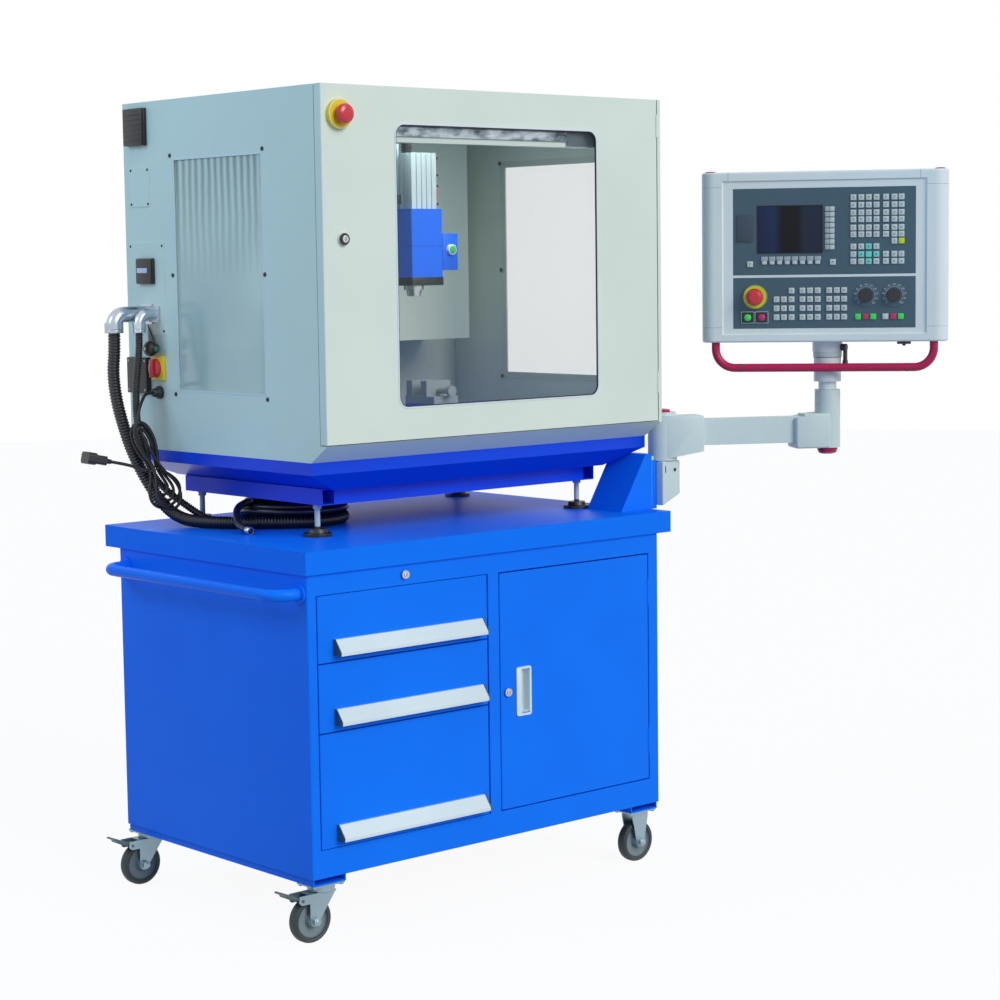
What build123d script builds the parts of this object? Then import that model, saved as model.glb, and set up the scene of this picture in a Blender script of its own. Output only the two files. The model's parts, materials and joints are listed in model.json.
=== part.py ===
from build123d import *
import math
import os

# Small CNC milling machine in a glazed enclosure, on a wheeled tool cabinet,
# with a control panel on a swinging arm. Millimetres, +X right, +Y back, +Z up.
# The origin is on the floor, under the middle of the worktop.

# Sheet and clearances
SHEET = 2.0
PLATE = 3.0
RUN_FIT = 0.05
SEAT_GAP = 0.3
DOOR_GAP = 3.0

# Worktop
TOP_WIDTH = 1050.0
TOP_DEPTH = 750.0
TOP_THICKNESS = 48.0
TOP_LIP = 22.0

# Casters
WHEEL_DIAMETER = 96.0
WHEEL_WIDTH = 26.0
AXLE_RADIUS = 5.0
CASTER_TRAIL = 30.0
CASTER_PLATE_LENGTH = 84.0
CASTER_PLATE_DEPTH = 64.0
CASTER_PLATE_THICKNESS = 3.0
FORK_SHEET = 2.5
FORK_SIDE_GAP = 3.0
FORK_TOP_GAP = 7.0
RACE_RADIUS = 29.0
RACE_HEIGHT = 14.0
KINGPIN_RADIUS = 6.0
PEDAL_REACH = 45.0
PEDAL_RISE = 24.0
PEDAL_PIN_RADIUS = 3.0
PEDAL_HUB_RADIUS = 5.0
PEDAL_BACK = 30.0
PEDAL_PIN_DROP = 8.0
FRONT_CASTER_INSET = 36.5
REAR_CASTER_INSET = 22.0
SIDE_CASTER_INSET = 47.5

# Cabinet
CABINET_LEFT = -518.0
CABINET_RIGHT = 487.0
CABINET_FRONT = -368.0
CABINET_BACK = 327.0
CABINET_HEIGHT = 628.0
RAIL_HEIGHT = 16.0
FACE_DEPTH = 20.0
TOP_RAIL = 44.0
BOTTOM_RAIL = 58.0
LEFT_STILE = 22.0
MIDDLE_STILE = 30.0
DRAWER_BAY_WIDTH = 463.0
CUPBOARD_WIDTH = 459.0
TOP_DRAWER_HEIGHT = 141.0
MIDDLE_DRAWER_HEIGHT = 144.0
DRAWER_LENGTH = 560.0
DRAWER_SIDE_GAP = 12.0
DRAWER_FRONT_THICKNESS = 18.0
LEDGE_WIDTH = 10.0
PULL_LENGTH = 397.0
PULL_HEIGHT = 33.0
PULL_DEPTH = 25.0
PULL_RISE = 15.0
DOOR_THICKNESS = 20.0
HINGE_BARREL_RADIUS = 3.5
HINGE_PIN_RADIUS = 1.75
HINGE_BARREL_LENGTH = 60.0
CUP_PULL_WIDTH = 43.0
CUP_PULL_HEIGHT = 108.0
CUP_PULL_DEPTH = 14.0
CUP_PULL_X = 65.5
CUP_PULL_Z = 455.0
LOCK_RADIUS = 9.0

# Push handle on the left side
HANDLE_TUBE_RADIUS = 12.5
HANDLE_REACH = 59.0
HANDLE_SPAN = 642.0
HANDLE_BEND = 45.0
HANDLE_DROP = 40.0

# Base frame and levelling feet
TUBE = 35.0
TUBE_WALL = 2.5
FOOT_CLEARANCE = 69.0
FOOT_PAD_RADIUS = 31.0
FOOT_PAD_HEIGHT = 16.0
FOOT_ROD_RADIUS = 6.0
FRAME_HALF_SPAN = 379.5
FRAME_FRONT = -203.0
FRAME_LENGTH = 510.0
FOOT_INSET = 40.0

# Drip tray and enclosure
ENCLOSURE_X = 46.5
ENCLOSURE_WIDTH = 969.0
ENCLOSURE_FRONT = -341.0
ENCLOSURE_BACK = 389.0
ENCLOSURE_HEIGHT = 769.0
TRAY_FRONT = -285.0
TRAY_BAND = 26.0
TRAY_SLOPE_DROP = 39.0
TRAY_SLOPE_RUN = 92.0
TRAY_SLOPE_FRONT = 46.0
SILL_RISE = 37.0
MAIN_DOOR_THICKNESS = 22.0
HINGE_STRIP = 9.5
FRAME_STILE = 40.0
LINTEL_DEPTH = 112.0
WINDOW_LEFT = -246.0
WINDOW_RIGHT = 328.0
WINDOW_BOTTOM = 1091.0
WINDOW_TOP = 1676.0
WINDOW_CORNER = 22.0
PANE_THICKNESS = 4.0
PANE_LAP = 14.0
SIDE_WINDOW_FRONT = -133.0
SIDE_WINDOW_BACK = 190.0
SIDE_WINDOW_BOTTOM = 1120.0
SIDE_WINDOW_TOP = 1621.0
DOOR_BARREL_RADIUS = 4.0
DOOR_PIN_RADIUS = 2.0
DOOR_BARREL_LENGTH = 50.0
ESTOP_X = -395.0
ESTOP_Z = 1692.0
ESTOP_DISC_RADIUS = 30.0
ESTOP_DISC_THICKNESS = 11.0
ESTOP_HEAD_RADIUS = 20.0
ESTOP_TRAVEL = 5.0
DOOR_LOCK_X = -388.0
DOOR_LOCK_Z = 1441.0
DOOR_LOCK_RADIUS = 14.0

# Fittings on the left wall
FITTING_PLATE = 2.0
SWITCH_Y = 266.5
SWITCH_Z = 1166.0
SWITCH_SIDE = 60.0
LARGE_HOSE_DIAMETER = 28.0
SMALL_HOSE_DIAMETER = 17.0
MAINS_DIAMETER = 7.0
COOLANT_HOSE_DIAMETER = 16.0
ELBOW_Z = 1286.0
LARGE_ELBOW_Y = 304.0
LARGE_ELBOW_REACH = 92.0
SMALL_ELBOW_Y = 272.0
SMALL_ELBOW_REACH = 48.0
COLLAR_Z = 1246.0
GLAND_Y = 265.0
GLAND_Z = 1112.0
GLAND_LENGTH = 22.0
GLAND_NUT = 8.0
KNOB_Y = 288.0
KNOB_Z = 1208.0
KNOB_LENGTH = 26.0
VENT_Y = 344.0
VENT_Z = 1699.0
VENT_WIDTH = 88.0
VENT_BOX_HEIGHT = 82.0
VENT_DEPTH = 30.0
VENT_SLOTS = 6
VENT_SLOT_PITCH = 11.0
VENT_SLOT_HEIGHT = 5.0
CABLE_BOX_Y = 317.0
CABLE_BOX_Z = 1380.5
CABLE_BOX_WIDTH = 76.0
CABLE_BOX_HEIGHT = 57.0
CABLE_BOX_DEPTH = 24.0
TERMINAL_Y = 347.5
TERMINAL_Z = 1147.0
TERMINAL_WIDTH = 81.0
TERMINAL_HEIGHT = 84.0
TERMINAL_DEPTH = 38.0
SMALL_COVER_Y = 325.5
SMALL_COVER_Z = 1566.5
SMALL_COVER_WIDTH = 79.0
SMALL_COVER_HEIGHT = 87.0
LARGE_COVER_Y = 305.0
LARGE_COVER_Z = 1342.0
LARGE_COVER_WIDTH = 140.0
LARGE_COVER_HEIGHT = 204.0

# Arm
PIVOT_STANDOFF = 45.0
PIVOT_Y = -304.0
ARM_LENGTH = 402.0
ARM_ANGLE = -31.0
ARM_TUBE_HEIGHT = 61.0
ARM_TUBE_WIDTH = 42.0
ARM_TUBE_BOTTOM = 959.0
ARM_WALL = 4.0
ROOT_RADIUS = 34.0
ROOT_BOTTOM = 926.0
ROOT_TOP = 1029.0
CAP_HEIGHT = 9.0
PIVOT_PIN_RADIUS = 12.0
ELBOW_RADIUS = 30.0
ELBOW_TOP = 1082.0
ELBOW_BOTTOM = 945.0
NECK_RADIUS = 21.0
SLEEVE_RADIUS = 32.0
COUPLING_RADIUS = 35.0
PEDESTAL_WIDTH = 100.0
PEDESTAL_TOP_WIDTH = 20.0
PEDESTAL_FRONT = -313.0

# Control panel
PANEL_WIDTH = 570.0
PANEL_HEIGHT = 396.0
PANEL_DEPTH = 105.0
PANEL_BOTTOM = 1195.0
PANEL_FORWARD = 60.0
PANEL_SHIFT = -6.0
PANEL_YAW = -52.0
PANEL_WALL = 4.0
PANEL_CORNER = 30.0
PLATE_WIDTH = 420.0
SCREEN_PLATE_HEIGHT = 200.0
KEY_PLATE_HEIGHT = 118.0
PLATE_THICKNESS = 5.0
PLATE_TOP_MARGIN = 39.0
PLATE_SPACING = 6.5
PLATE_RECESS = 4.0
RECESS_SIDE = 23.0
RECESS_TOP = 16.0
RECESS_BOTTOM = 12.0
KEY = 13.0
KEY_RISE = 3.0
SMALL_KEY = 10.5
KNOB_RADIUS = 15.0
KNOB_HEIGHT = 16.0
DIAL_RADIUS = 28.0
PUSH_WIDTH = 24.0
PUSH_HEIGHT = 21.0
PUSH_TRAVEL = 4.0
GRIP_RADIUS = 9.75
GRIP_DROP = 60.0
GRIP_BEND = 45.0
GRIP_SPAN = 505.0
GRIP_SLEEVE_GAP = 4.0

# Machine inside
BED_WIDTH = 220.0
BED_TRAY_MARGIN = 8.0
BED_LENGTH = 532.0
BED_HEIGHT = 80.0
SADDLE_WIDTH = 200.0
SADDLE_DEPTH = 170.0
SADDLE_HEIGHT = 34.0
TABLE_LENGTH = 400.0
TABLE_DEPTH = 130.0
TABLE_HEIGHT = 36.0
TABLE_CENTRE_Y = -110.0
GUIDE_WIDTH = 18.0
GUIDE_HEIGHT = 12.0
COLUMN_WIDTH = 140.0
COLUMN_DEPTH = 90.0
COLUMN_FRONT = 105.0
COLUMN_TOP = 1650.0
HEAD_WIDTH = 90.0
HEAD_FRONT = -88.0
HEAD_BOTTOM = 1359.0
HEAD_HEIGHT = 152.0
SPINDLE_Y = -40.0
SPINDLE_RADIUS = 16.0
COLLET_RADIUS = 5.0
COLLET_DEPTH = 24.0
MOTOR_WIDTH = 72.0
MOTOR_HEIGHT = 124.0
VISE_SHIFT = -13.0
VISE_WIDTH = 70.0
VISE_LENGTH = 100.0
VISE_BASE = 24.0
JAW_HEIGHT = 34.0
JAW_THICKNESS = 20.0
JAW_GAP = 30.0
HEAD_BOX_WIDTH = 45.0
HEAD_BOX_HEIGHT = 82.0
HEAD_BOX_DEPTH = 80.0
COLUMN_FOOT_REACH = 90.0
COLUMN_FOOT_HEIGHT = 140.0
CONTROL_BOX_WIDTH = 763.0
CONTROL_BOX_FRONT = 215.0
CONTROL_BOX_BOTTOM = 1207.0

# Heights worked out from the floor up
WHEEL_Z = WHEEL_DIAMETER / 2
FORK_TOP = WHEEL_DIAMETER + FORK_TOP_GAP
FORK_BRIDGE_TOP = FORK_TOP + FORK_SHEET
RACE_TOP = FORK_BRIDGE_TOP + RACE_HEIGHT
CASTER_TOP = RACE_TOP + SEAT_GAP + CASTER_PLATE_THICKNESS
CABINET_BOTTOM = CASTER_TOP + RAIL_HEIGHT
CABINET_TOP = CABINET_BOTTOM + CABINET_HEIGHT
TOP_Z = CABINET_TOP + TOP_THICKNESS
FRAME_Z = TOP_Z + FOOT_CLEARANCE
TRAY_FLOOR = FRAME_Z + TUBE
TRAY_BAND_Z = TRAY_FLOOR + TRAY_SLOPE_DROP
ENCLOSURE_BOTTOM = TRAY_BAND_Z + TRAY_BAND
ENCLOSURE_TOP = ENCLOSURE_BOTTOM + ENCLOSURE_HEIGHT
ENCLOSURE_LEFT = ENCLOSURE_X - ENCLOSURE_WIDTH / 2
ENCLOSURE_RIGHT = ENCLOSURE_X + ENCLOSURE_WIDTH / 2
SILL_TOP = ENCLOSURE_BOTTOM + SILL_RISE
BED_FRONT = TRAY_FRONT + TRAY_SLOPE_FRONT + BED_TRAY_MARGIN
BED_TOP = TRAY_FLOOR + SHEET + BED_HEIGHT

# Cabinet openings
BAY_LEFT = CABINET_LEFT + LEFT_STILE
BAY_RIGHT = BAY_LEFT + DRAWER_BAY_WIDTH
CUPBOARD_LEFT = BAY_RIGHT + MIDDLE_STILE
CUPBOARD_RIGHT = CUPBOARD_LEFT + CUPBOARD_WIDTH
OPENING_TOP = CABINET_TOP - TOP_RAIL
OPENING_BOTTOM = CABINET_BOTTOM + BOTTOM_RAIL
PARTITION_X = BAY_RIGHT + MIDDLE_STILE / 2

# Caster places
FRONT_CASTER_Y = CABINET_FRONT + FRONT_CASTER_INSET
REAR_CASTER_Y = CABINET_BACK - REAR_CASTER_INSET
SWIVEL_X = CABINET_LEFT + SIDE_CASTER_INSET
FIXED_X = CABINET_RIGHT - SIDE_CASTER_INSET + CASTER_PLATE_THICKNESS
FORK_INNER = WHEEL_WIDTH / 2 + FORK_SIDE_GAP
FORK_OUTER = FORK_INNER + FORK_SHEET

# Pedestal, tucked under the tray's slope and in front of the nearest foot
PEDESTAL_BACK = FRAME_FRONT + FOOT_INSET - FOOT_PAD_RADIUS - 2 * DOOR_GAP
TRAY_FLOOR_RIGHT = ENCLOSURE_RIGHT - TRAY_SLOPE_RUN
PEDESTAL_INNER = TOP_WIDTH / 2 - PEDESTAL_TOP_WIDTH
PIVOT_X = TOP_WIDTH / 2 + PIVOT_STANDOFF
PEDESTAL_TOP = TRAY_FLOOR + (PEDESTAL_INNER - TRAY_FLOOR_RIGHT) / TRAY_SLOPE_RUN * TRAY_SLOPE_DROP - DOOR_GAP

# Main door
DOOR_RIGHT = ENCLOSURE_RIGHT - HINGE_STRIP - DOOR_GAP
DOOR_BOTTOM = SILL_TOP + SHEET
DOOR_BACK = ENCLOSURE_FRONT + MAIN_DOOR_THICKNESS
SHELL_FRONT = DOOR_BACK + SHEET
DOOR_AXIS_X = DOOR_RIGHT + DOOR_GAP / 2
DOOR_AXIS_Y = ENCLOSURE_FRONT + 1.0
CUPBOARD_AXIS_X = CUPBOARD_RIGHT - DOOR_GAP / 2
CUPBOARD_AXIS_Y = CABINET_FRONT + 1.0


def block(x0, x1, y0, y1, z0, z1):
    """Box between two corners."""
    middle = Pos((x0 + x1) / 2, (y0 + y1) / 2, (z0 + z1) / 2)
    return middle * Box(abs(x1 - x0), abs(y1 - y0), abs(z1 - z0))


def post(x, y, z0, z1, radius):
    """Upright cylinder."""
    return Pos(x, y, (z0 + z1) / 2) * Cylinder(radius, abs(z1 - z0))


def rod_x(x0, x1, y, z, radius):
    """Cylinder along X."""
    return Pos((x0 + x1) / 2, y, z) * Rot(0, 90, 0) * Cylinder(radius, abs(x1 - x0))


def rod_y(x, y0, y1, z, radius):
    """Cylinder along Y."""
    return Pos(x, (y0 + y1) / 2, z) * Rot(90, 0, 0) * Cylinder(radius, abs(y1 - y0))


def outline_y(points, y0, y1):
    """Closed outline of (x, z) points, made solid from y0 to y1."""
    face = make_face(Polyline([Vector(x, y0, z) for x, z in points], close=True))
    return extrude(face, amount=abs(y1 - y0), dir=(0, 1 if y1 > y0 else -1, 0))


def save(solid, name):
    export_step(solid, os.path.join("parts", name + ".step"))


def group(pieces):
    return Compound(children=list(pieces))


# Casters

def wheel(x, y):
    """Moulded wheel: rounded tread, dished sides, hub with a bore for the axle."""
    r = WHEEL_DIAMETER / 2
    half = WHEEL_WIDTH / 2
    hub = AXLE_RADIUS + 9
    hub_half = half + FORK_SIDE_GAP - SEAT_GAP
    dish = half * 0.35
    rim = r * 0.78
    bore = AXLE_RADIUS + RUN_FIT
    right_half = [(bore, 0), (bore, hub_half), (hub, hub_half), (hub + 3, dish), (rim - 4, dish),
                  (rim, half - 1.5), (r - 5, half), (r - 1.5, half - 3.5), (r, half - 8), (r, 0)]
    left_half = [(a, -b) for a, b in reversed(right_half) if b > 0]
    profile = make_face(Polyline([Vector(a, b, 0) for a, b in right_half + left_half], close=True))
    return Pos(x, y, WHEEL_Z) * revolve(profile, Axis.Y)


def fork_cheek(x, y, top_left, top_right):
    """One cheek of a fork, tapering from the bridge down to a round end at the axle."""
    end = AXLE_RADIUS + 7
    body = outline_y([(x + top_left, FORK_BRIDGE_TOP), (x + top_right, FORK_BRIDGE_TOP),
                      (x + end, WHEEL_Z), (x - end, WHEEL_Z)], y, y + FORK_SHEET)
    return body + rod_y(x, y, y + FORK_SHEET, WHEEL_Z, end)


def pedal_tab(x, y):
    """Rounded lobe of a cheek that holds the pedal's pin."""
    lobe = PEDAL_PIN_RADIUS + 6
    z = pedal_axis_z()
    tab = rod_y(x - PEDAL_BACK, y, y + FORK_SHEET, z, lobe)
    tab += block(x - PEDAL_BACK, x, y, y + FORK_SHEET, z - lobe, FORK_BRIDGE_TOP)
    return tab + block(x - PEDAL_BACK - lobe, x, y, y + FORK_SHEET, z, FORK_BRIDGE_TOP)


def axle(x, y):
    """Axle bolt with a head on one side and a nut on the other."""
    shaft = rod_y(x, y - FORK_OUTER, y + FORK_OUTER, WHEEL_Z, AXLE_RADIUS)
    head = rod_y(x, y - FORK_OUTER - 5, y - FORK_OUTER, WHEEL_Z, AXLE_RADIUS + 3.5)
    nut = rod_y(x, y + FORK_OUTER, y + FORK_OUTER + 5, WHEEL_Z, AXLE_RADIUS + 3.5)
    return shaft + head + nut


def swivel_fork(x, y):
    """Swivelling fork: two cheeks, a bridge, the race on top and the axle. x is the swivel axis."""
    wheel_x = x - CASTER_TRAIL
    left = -AXLE_RADIUS - 7
    right = CASTER_TRAIL + RACE_RADIUS - 4
    body = block(wheel_x + left, wheel_x + right, y - FORK_OUTER, y + FORK_OUTER, FORK_TOP, FORK_BRIDGE_TOP)
    for side in (y - FORK_OUTER, y + FORK_INNER):
        body += fork_cheek(wheel_x, side, left, right) + pedal_tab(wheel_x, side)
    race = Pos(x, y, FORK_BRIDGE_TOP + RACE_HEIGHT / 2) * Cylinder(RACE_RADIUS, RACE_HEIGHT)
    body += race.fillet(3.0, race.edges().group_by(Axis.Z)[0])
    body -= post(x, y, FORK_TOP - 1, RACE_TOP + 1, KINGPIN_RADIUS + RUN_FIT)
    pin_x = wheel_x - PEDAL_BACK
    body -= rod_y(pin_x, y - FORK_OUTER - 1, y + FORK_OUTER + 1, pedal_axis_z(), PEDAL_PIN_RADIUS + RUN_FIT)
    return body + axle(wheel_x, y)


def pedal_axis_z():
    return FORK_TOP - PEDAL_PIN_DROP


def pedal_axis_x():
    return SWIVEL_X - CASTER_TRAIL - PEDAL_BACK


def brake_pedal(y):
    """Foot pedal of a braked caster, hinged on a pin between the cheeks."""
    x = pedal_axis_x()
    z = pedal_axis_z()
    half = FORK_INNER - SEAT_GAP
    hub = rod_y(x, y - half, y + half, z, PEDAL_HUB_RADIUS)
    pin = rod_y(x, y - FORK_OUTER - 1.5, y + FORK_OUTER + 1.5, z, PEDAL_PIN_RADIUS)
    tip = x - PEDAL_REACH
    top = z + PEDAL_RISE
    plate = outline_y([(x, z + PEDAL_HUB_RADIUS), (tip, top), (tip - 3, top - 3), (tip, top - 5),
                       (x - PEDAL_HUB_RADIUS, z)], y - half, y + half)
    pad = outline_y([(tip + 6, top - 6), (tip + 9, top - 13), (x - 7, z - 3), (x - 3, z + 1)],
                    y - half + 3, y + half - 3)
    return hub + pin + plate + pad


def caster_plates():
    """Four bolted top plates. The left pair carry kingpins, the right pair carry fixed forks."""
    pieces = []
    for y in (FRONT_CASTER_Y, REAR_CASTER_Y):
        half_y = CASTER_PLATE_DEPTH / 2
        for x in (SWIVEL_X, FIXED_X):
            half_x = CASTER_PLATE_LENGTH / 2
            plate = block(x - half_x, x + half_x, y - half_y, y + half_y,
                          CASTER_TOP - CASTER_PLATE_THICKNESS, CASTER_TOP)
            plate = fillet(plate.edges().filter_by(Axis.Z), 8)
            if x == SWIVEL_X:
                plate += post(x, y, FORK_TOP - 4, CASTER_TOP, KINGPIN_RADIUS)
            else:
                for side in (y - FORK_OUTER, y + FORK_INNER):
                    cheek = fork_cheek(x, side, -24, 24)
                    plate += cheek + block(x - 24, x + 24, side, side + FORK_SHEET,
                                           FORK_BRIDGE_TOP - 1, CASTER_TOP - CASTER_PLATE_THICKNESS)
                plate += block(x - 24, x + 24, y - FORK_OUTER, y + FORK_OUTER,
                               CASTER_TOP - CASTER_PLATE_THICKNESS - FORK_SHEET, CASTER_TOP)
                plate += axle(x, y)
            pieces.append(plate)
    return group(pieces)


# Cabinet

def drawer_levels():
    """Top and bottom height of each drawer front's opening, from the top down."""
    first = OPENING_TOP - TOP_DRAWER_HEIGHT
    second = first - MIDDLE_DRAWER_HEIGHT
    return [(OPENING_TOP, first), (first, second), (second, OPENING_BOTTOM)]


def cabinet_body():
    outer = block(CABINET_LEFT, CABINET_RIGHT, CABINET_FRONT, CABINET_BACK, CABINET_BOTTOM, CABINET_TOP)
    outer = fillet(outer.edges().filter_by(Axis.Z), 4)
    room_top = CABINET_TOP - SHEET
    room_bottom = CABINET_BOTTOM + SHEET
    room_front = CABINET_FRONT + FACE_DEPTH
    room_back = CABINET_BACK - SHEET
    wall = PLATE / 2
    body = outer
    body -= block(CABINET_LEFT + SHEET, PARTITION_X - wall, room_front, room_back, room_bottom, room_top)
    body -= block(PARTITION_X + wall, CABINET_RIGHT - SHEET, room_front, room_back, room_bottom, room_top)
    for left, right in ((BAY_LEFT, BAY_RIGHT), (CUPBOARD_LEFT, CUPBOARD_RIGHT)):
        body -= block(left, right, CABINET_FRONT - 1, room_front + 1, OPENING_BOTTOM, OPENING_TOP)
    # Ledges that the drawers slide on
    for top, bottom in drawer_levels():
        ledge_z = bottom + DOOR_GAP + 8
        inner = BAY_LEFT + DRAWER_SIDE_GAP + LEDGE_WIDTH
        body += block(CABINET_LEFT + SHEET / 2, inner, room_front - 1, room_front + DRAWER_LENGTH,
                      ledge_z - SEAT_GAP - PLATE, ledge_z - SEAT_GAP)
        inner = BAY_RIGHT - DRAWER_SIDE_GAP - LEDGE_WIDTH
        body += block(inner, PARTITION_X, room_front - 1, room_front + DRAWER_LENGTH,
                      ledge_z - SEAT_GAP - PLATE, ledge_z - SEAT_GAP)
    # Shelf in the cupboard
    shelf_z = (OPENING_TOP + OPENING_BOTTOM) / 2
    body += block(PARTITION_X, CABINET_RIGHT - SHEET / 2, room_front + 40, room_back + SHEET / 2,
                  shelf_z, shelf_z + SHEET)
    # Channels under the floor that take the casters
    for x in (SWIVEL_X, FIXED_X):
        half = CASTER_PLATE_LENGTH / 2
        ends = (CABINET_FRONT + 6, CABINET_BACK - 2)
        channel = block(x - half, x + half, ends[0], ends[1], CASTER_TOP, CABINET_BOTTOM + SHEET / 2)
        channel -= block(x - half + PLATE, x + half - PLATE, ends[0] - 1, ends[1] + 1,
                         CASTER_TOP + PLATE, CABINET_BOTTOM)
        body += channel
    # Hinge pins and fixed knuckles of the cupboard door
    for z in cupboard_hinges():
        body = add_fixed_knuckles(body, CUPBOARD_AXIS_X, CUPBOARD_AXIS_Y, z, HINGE_BARREL_RADIUS,
                                  HINGE_PIN_RADIUS, HINGE_BARREL_LENGTH, CUPBOARD_RIGHT)
    # Cam lock of the drawer bank, in the top rail
    lock_x = (BAY_LEFT + BAY_RIGHT) / 2
    body += rod_y(lock_x, CABINET_FRONT - 2, CABINET_FRONT + 1, CABINET_TOP - TOP_RAIL / 2, LOCK_RADIUS)
    body += rod_y(lock_x, CABINET_FRONT - 4, CABINET_FRONT, CABINET_TOP - TOP_RAIL / 2, LOCK_RADIUS - 3)
    return body


def cupboard_hinges():
    return (OPENING_BOTTOM + 90, OPENING_TOP - 90)


def add_fixed_knuckles(body, x, y, z, barrel, pin, length, edge):
    """Upper and lower knuckle of a hinge, joined to the frame at edge, with the pin between them."""
    third = length / 3
    body -= post(x, y, z - length / 2, z + length / 2, barrel + SEAT_GAP)
    for low in (z - length / 2, z + third / 2):
        high = low + third
        body += post(x, y, low, high, barrel)
        body += block(x, edge + 1.5, y + 0.8, y + barrel - 0.7, low, high)
    return body + post(x, y, z - length / 2, z + length / 2, pin)


def add_moving_knuckle(leaf, x, y, z, barrel, pin, length, edge):
    """Middle knuckle of a hinge, joined to the leaf at edge, with a running bore."""
    third = length / 3
    leaf -= post(x, y, z - length / 2 - SEAT_GAP, z + length / 2 + SEAT_GAP, barrel + SEAT_GAP)
    low = z - third / 2 + SEAT_GAP
    high = z + third / 2 - SEAT_GAP
    leaf += post(x, y, low, high, barrel)
    leaf += block(edge - 1.5, x, y + 0.8, y + barrel - 0.7, low, high)
    return leaf - post(x, y, low - 1, high + 1, pin + RUN_FIT)


def worktop():
    """Folded steel top: plate, skirt all round, return lip below and two stiffeners."""
    half_x = TOP_WIDTH / 2
    half_y = TOP_DEPTH / 2
    shell = block(-half_x, half_x, -half_y, half_y, CABINET_TOP, TOP_Z)
    shell = fillet(shell.edges().filter_by(Axis.Z), 3)
    shell -= block(-half_x + PLATE, half_x - PLATE, -half_y + PLATE, half_y - PLATE,
                   CABINET_TOP + PLATE, TOP_Z - PLATE)
    shell -= block(-half_x + TOP_LIP, half_x - TOP_LIP, -half_y + TOP_LIP, half_y - TOP_LIP,
                   CABINET_TOP - 1, CABINET_TOP + PLATE + 1)
    for x in (-FRAME_HALF_SPAN + ENCLOSURE_X, FRAME_HALF_SPAN + ENCLOSURE_X):
        rib = block(x - 25, x + 25, -half_y + PLATE / 2, half_y - PLATE / 2, CABINET_TOP, TOP_Z - PLATE / 2)
        rib -= block(x - 25 + SHEET, x + 25 - SHEET, -half_y, half_y, CABINET_TOP + SHEET, TOP_Z)
        shell += rib
    return shell


def drawer(top, bottom):
    """Folded drawer: front pan, open box with side flanges that sit on the ledges."""
    left = BAY_LEFT + DOOR_GAP
    right = BAY_RIGHT - DOOR_GAP
    low = bottom + DOOR_GAP / 2
    high = top - DOOR_GAP / 2
    front_back = CABINET_FRONT + DRAWER_FRONT_THICKNESS
    front = block(left, right, CABINET_FRONT, front_back, low, high)
    front = fillet(front.edges().filter_by(Axis.Z).group_by(Axis.Y)[0], 2)
    front -= block(left + SHEET, right - SHEET, CABINET_FRONT + SHEET, front_back + 1, low + SHEET, high - SHEET)
    box_left = BAY_LEFT + DRAWER_SIDE_GAP
    box_right = BAY_RIGHT - DRAWER_SIDE_GAP
    box_low = bottom + DOOR_GAP + 8
    box_high = high - 18
    back = front_back + DRAWER_LENGTH
    box = block(box_left, box_right, CABINET_FRONT + SHEET / 2, back, box_low, box_high)
    box -= block(box_left + SHEET, box_right - SHEET, CABINET_FRONT + SHEET, back - SHEET,
                 box_low + SHEET, box_high + 1)
    box -= block(box_left - 1, box_right + 1, CABINET_FRONT, CABINET_FRONT + SHEET / 2, low, high)
    inner = block(left + SHEET / 2, right - SHEET / 2, front_back - SHEET, front_back, low + SHEET / 2, box_high)
    return front + box + inner


def drawer_pull(bottom):
    """Slanted aluminium extrusion with a finger lip, and an end cap at each end."""
    lower = bottom + PULL_RISE
    upper = lower + PULL_HEIGHT
    y = CABINET_FRONT
    centre = (BAY_LEFT + BAY_RIGHT) / 2 + 11
    half = PULL_LENGTH / 2
    web = 2.5
    section = [(0, upper), (-6, upper), (-PULL_DEPTH, lower + 7), (-PULL_DEPTH, lower),
               (-PULL_DEPTH + web, lower), (-PULL_DEPTH + web, lower + 7), (-7, upper - web - 1),
               (-web, upper - web - 1), (-web, lower + 3), (0, lower + 3)]
    profile = make_face(Polyline([Vector(centre - half, y + a, b) for a, b in section], close=True))
    pull = extrude(profile, amount=PULL_LENGTH, dir=(1, 0, 0))
    cap = [(0, upper), (-6, upper), (-PULL_DEPTH, lower + 7), (-PULL_DEPTH, lower), (0, lower)]
    for x in (centre - half, centre + half - 4):
        face = make_face(Polyline([Vector(x, y + a, b) for a, b in cap], close=True))
        pull += extrude(face, amount=4, dir=(1, 0, 0))
    return pull


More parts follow.
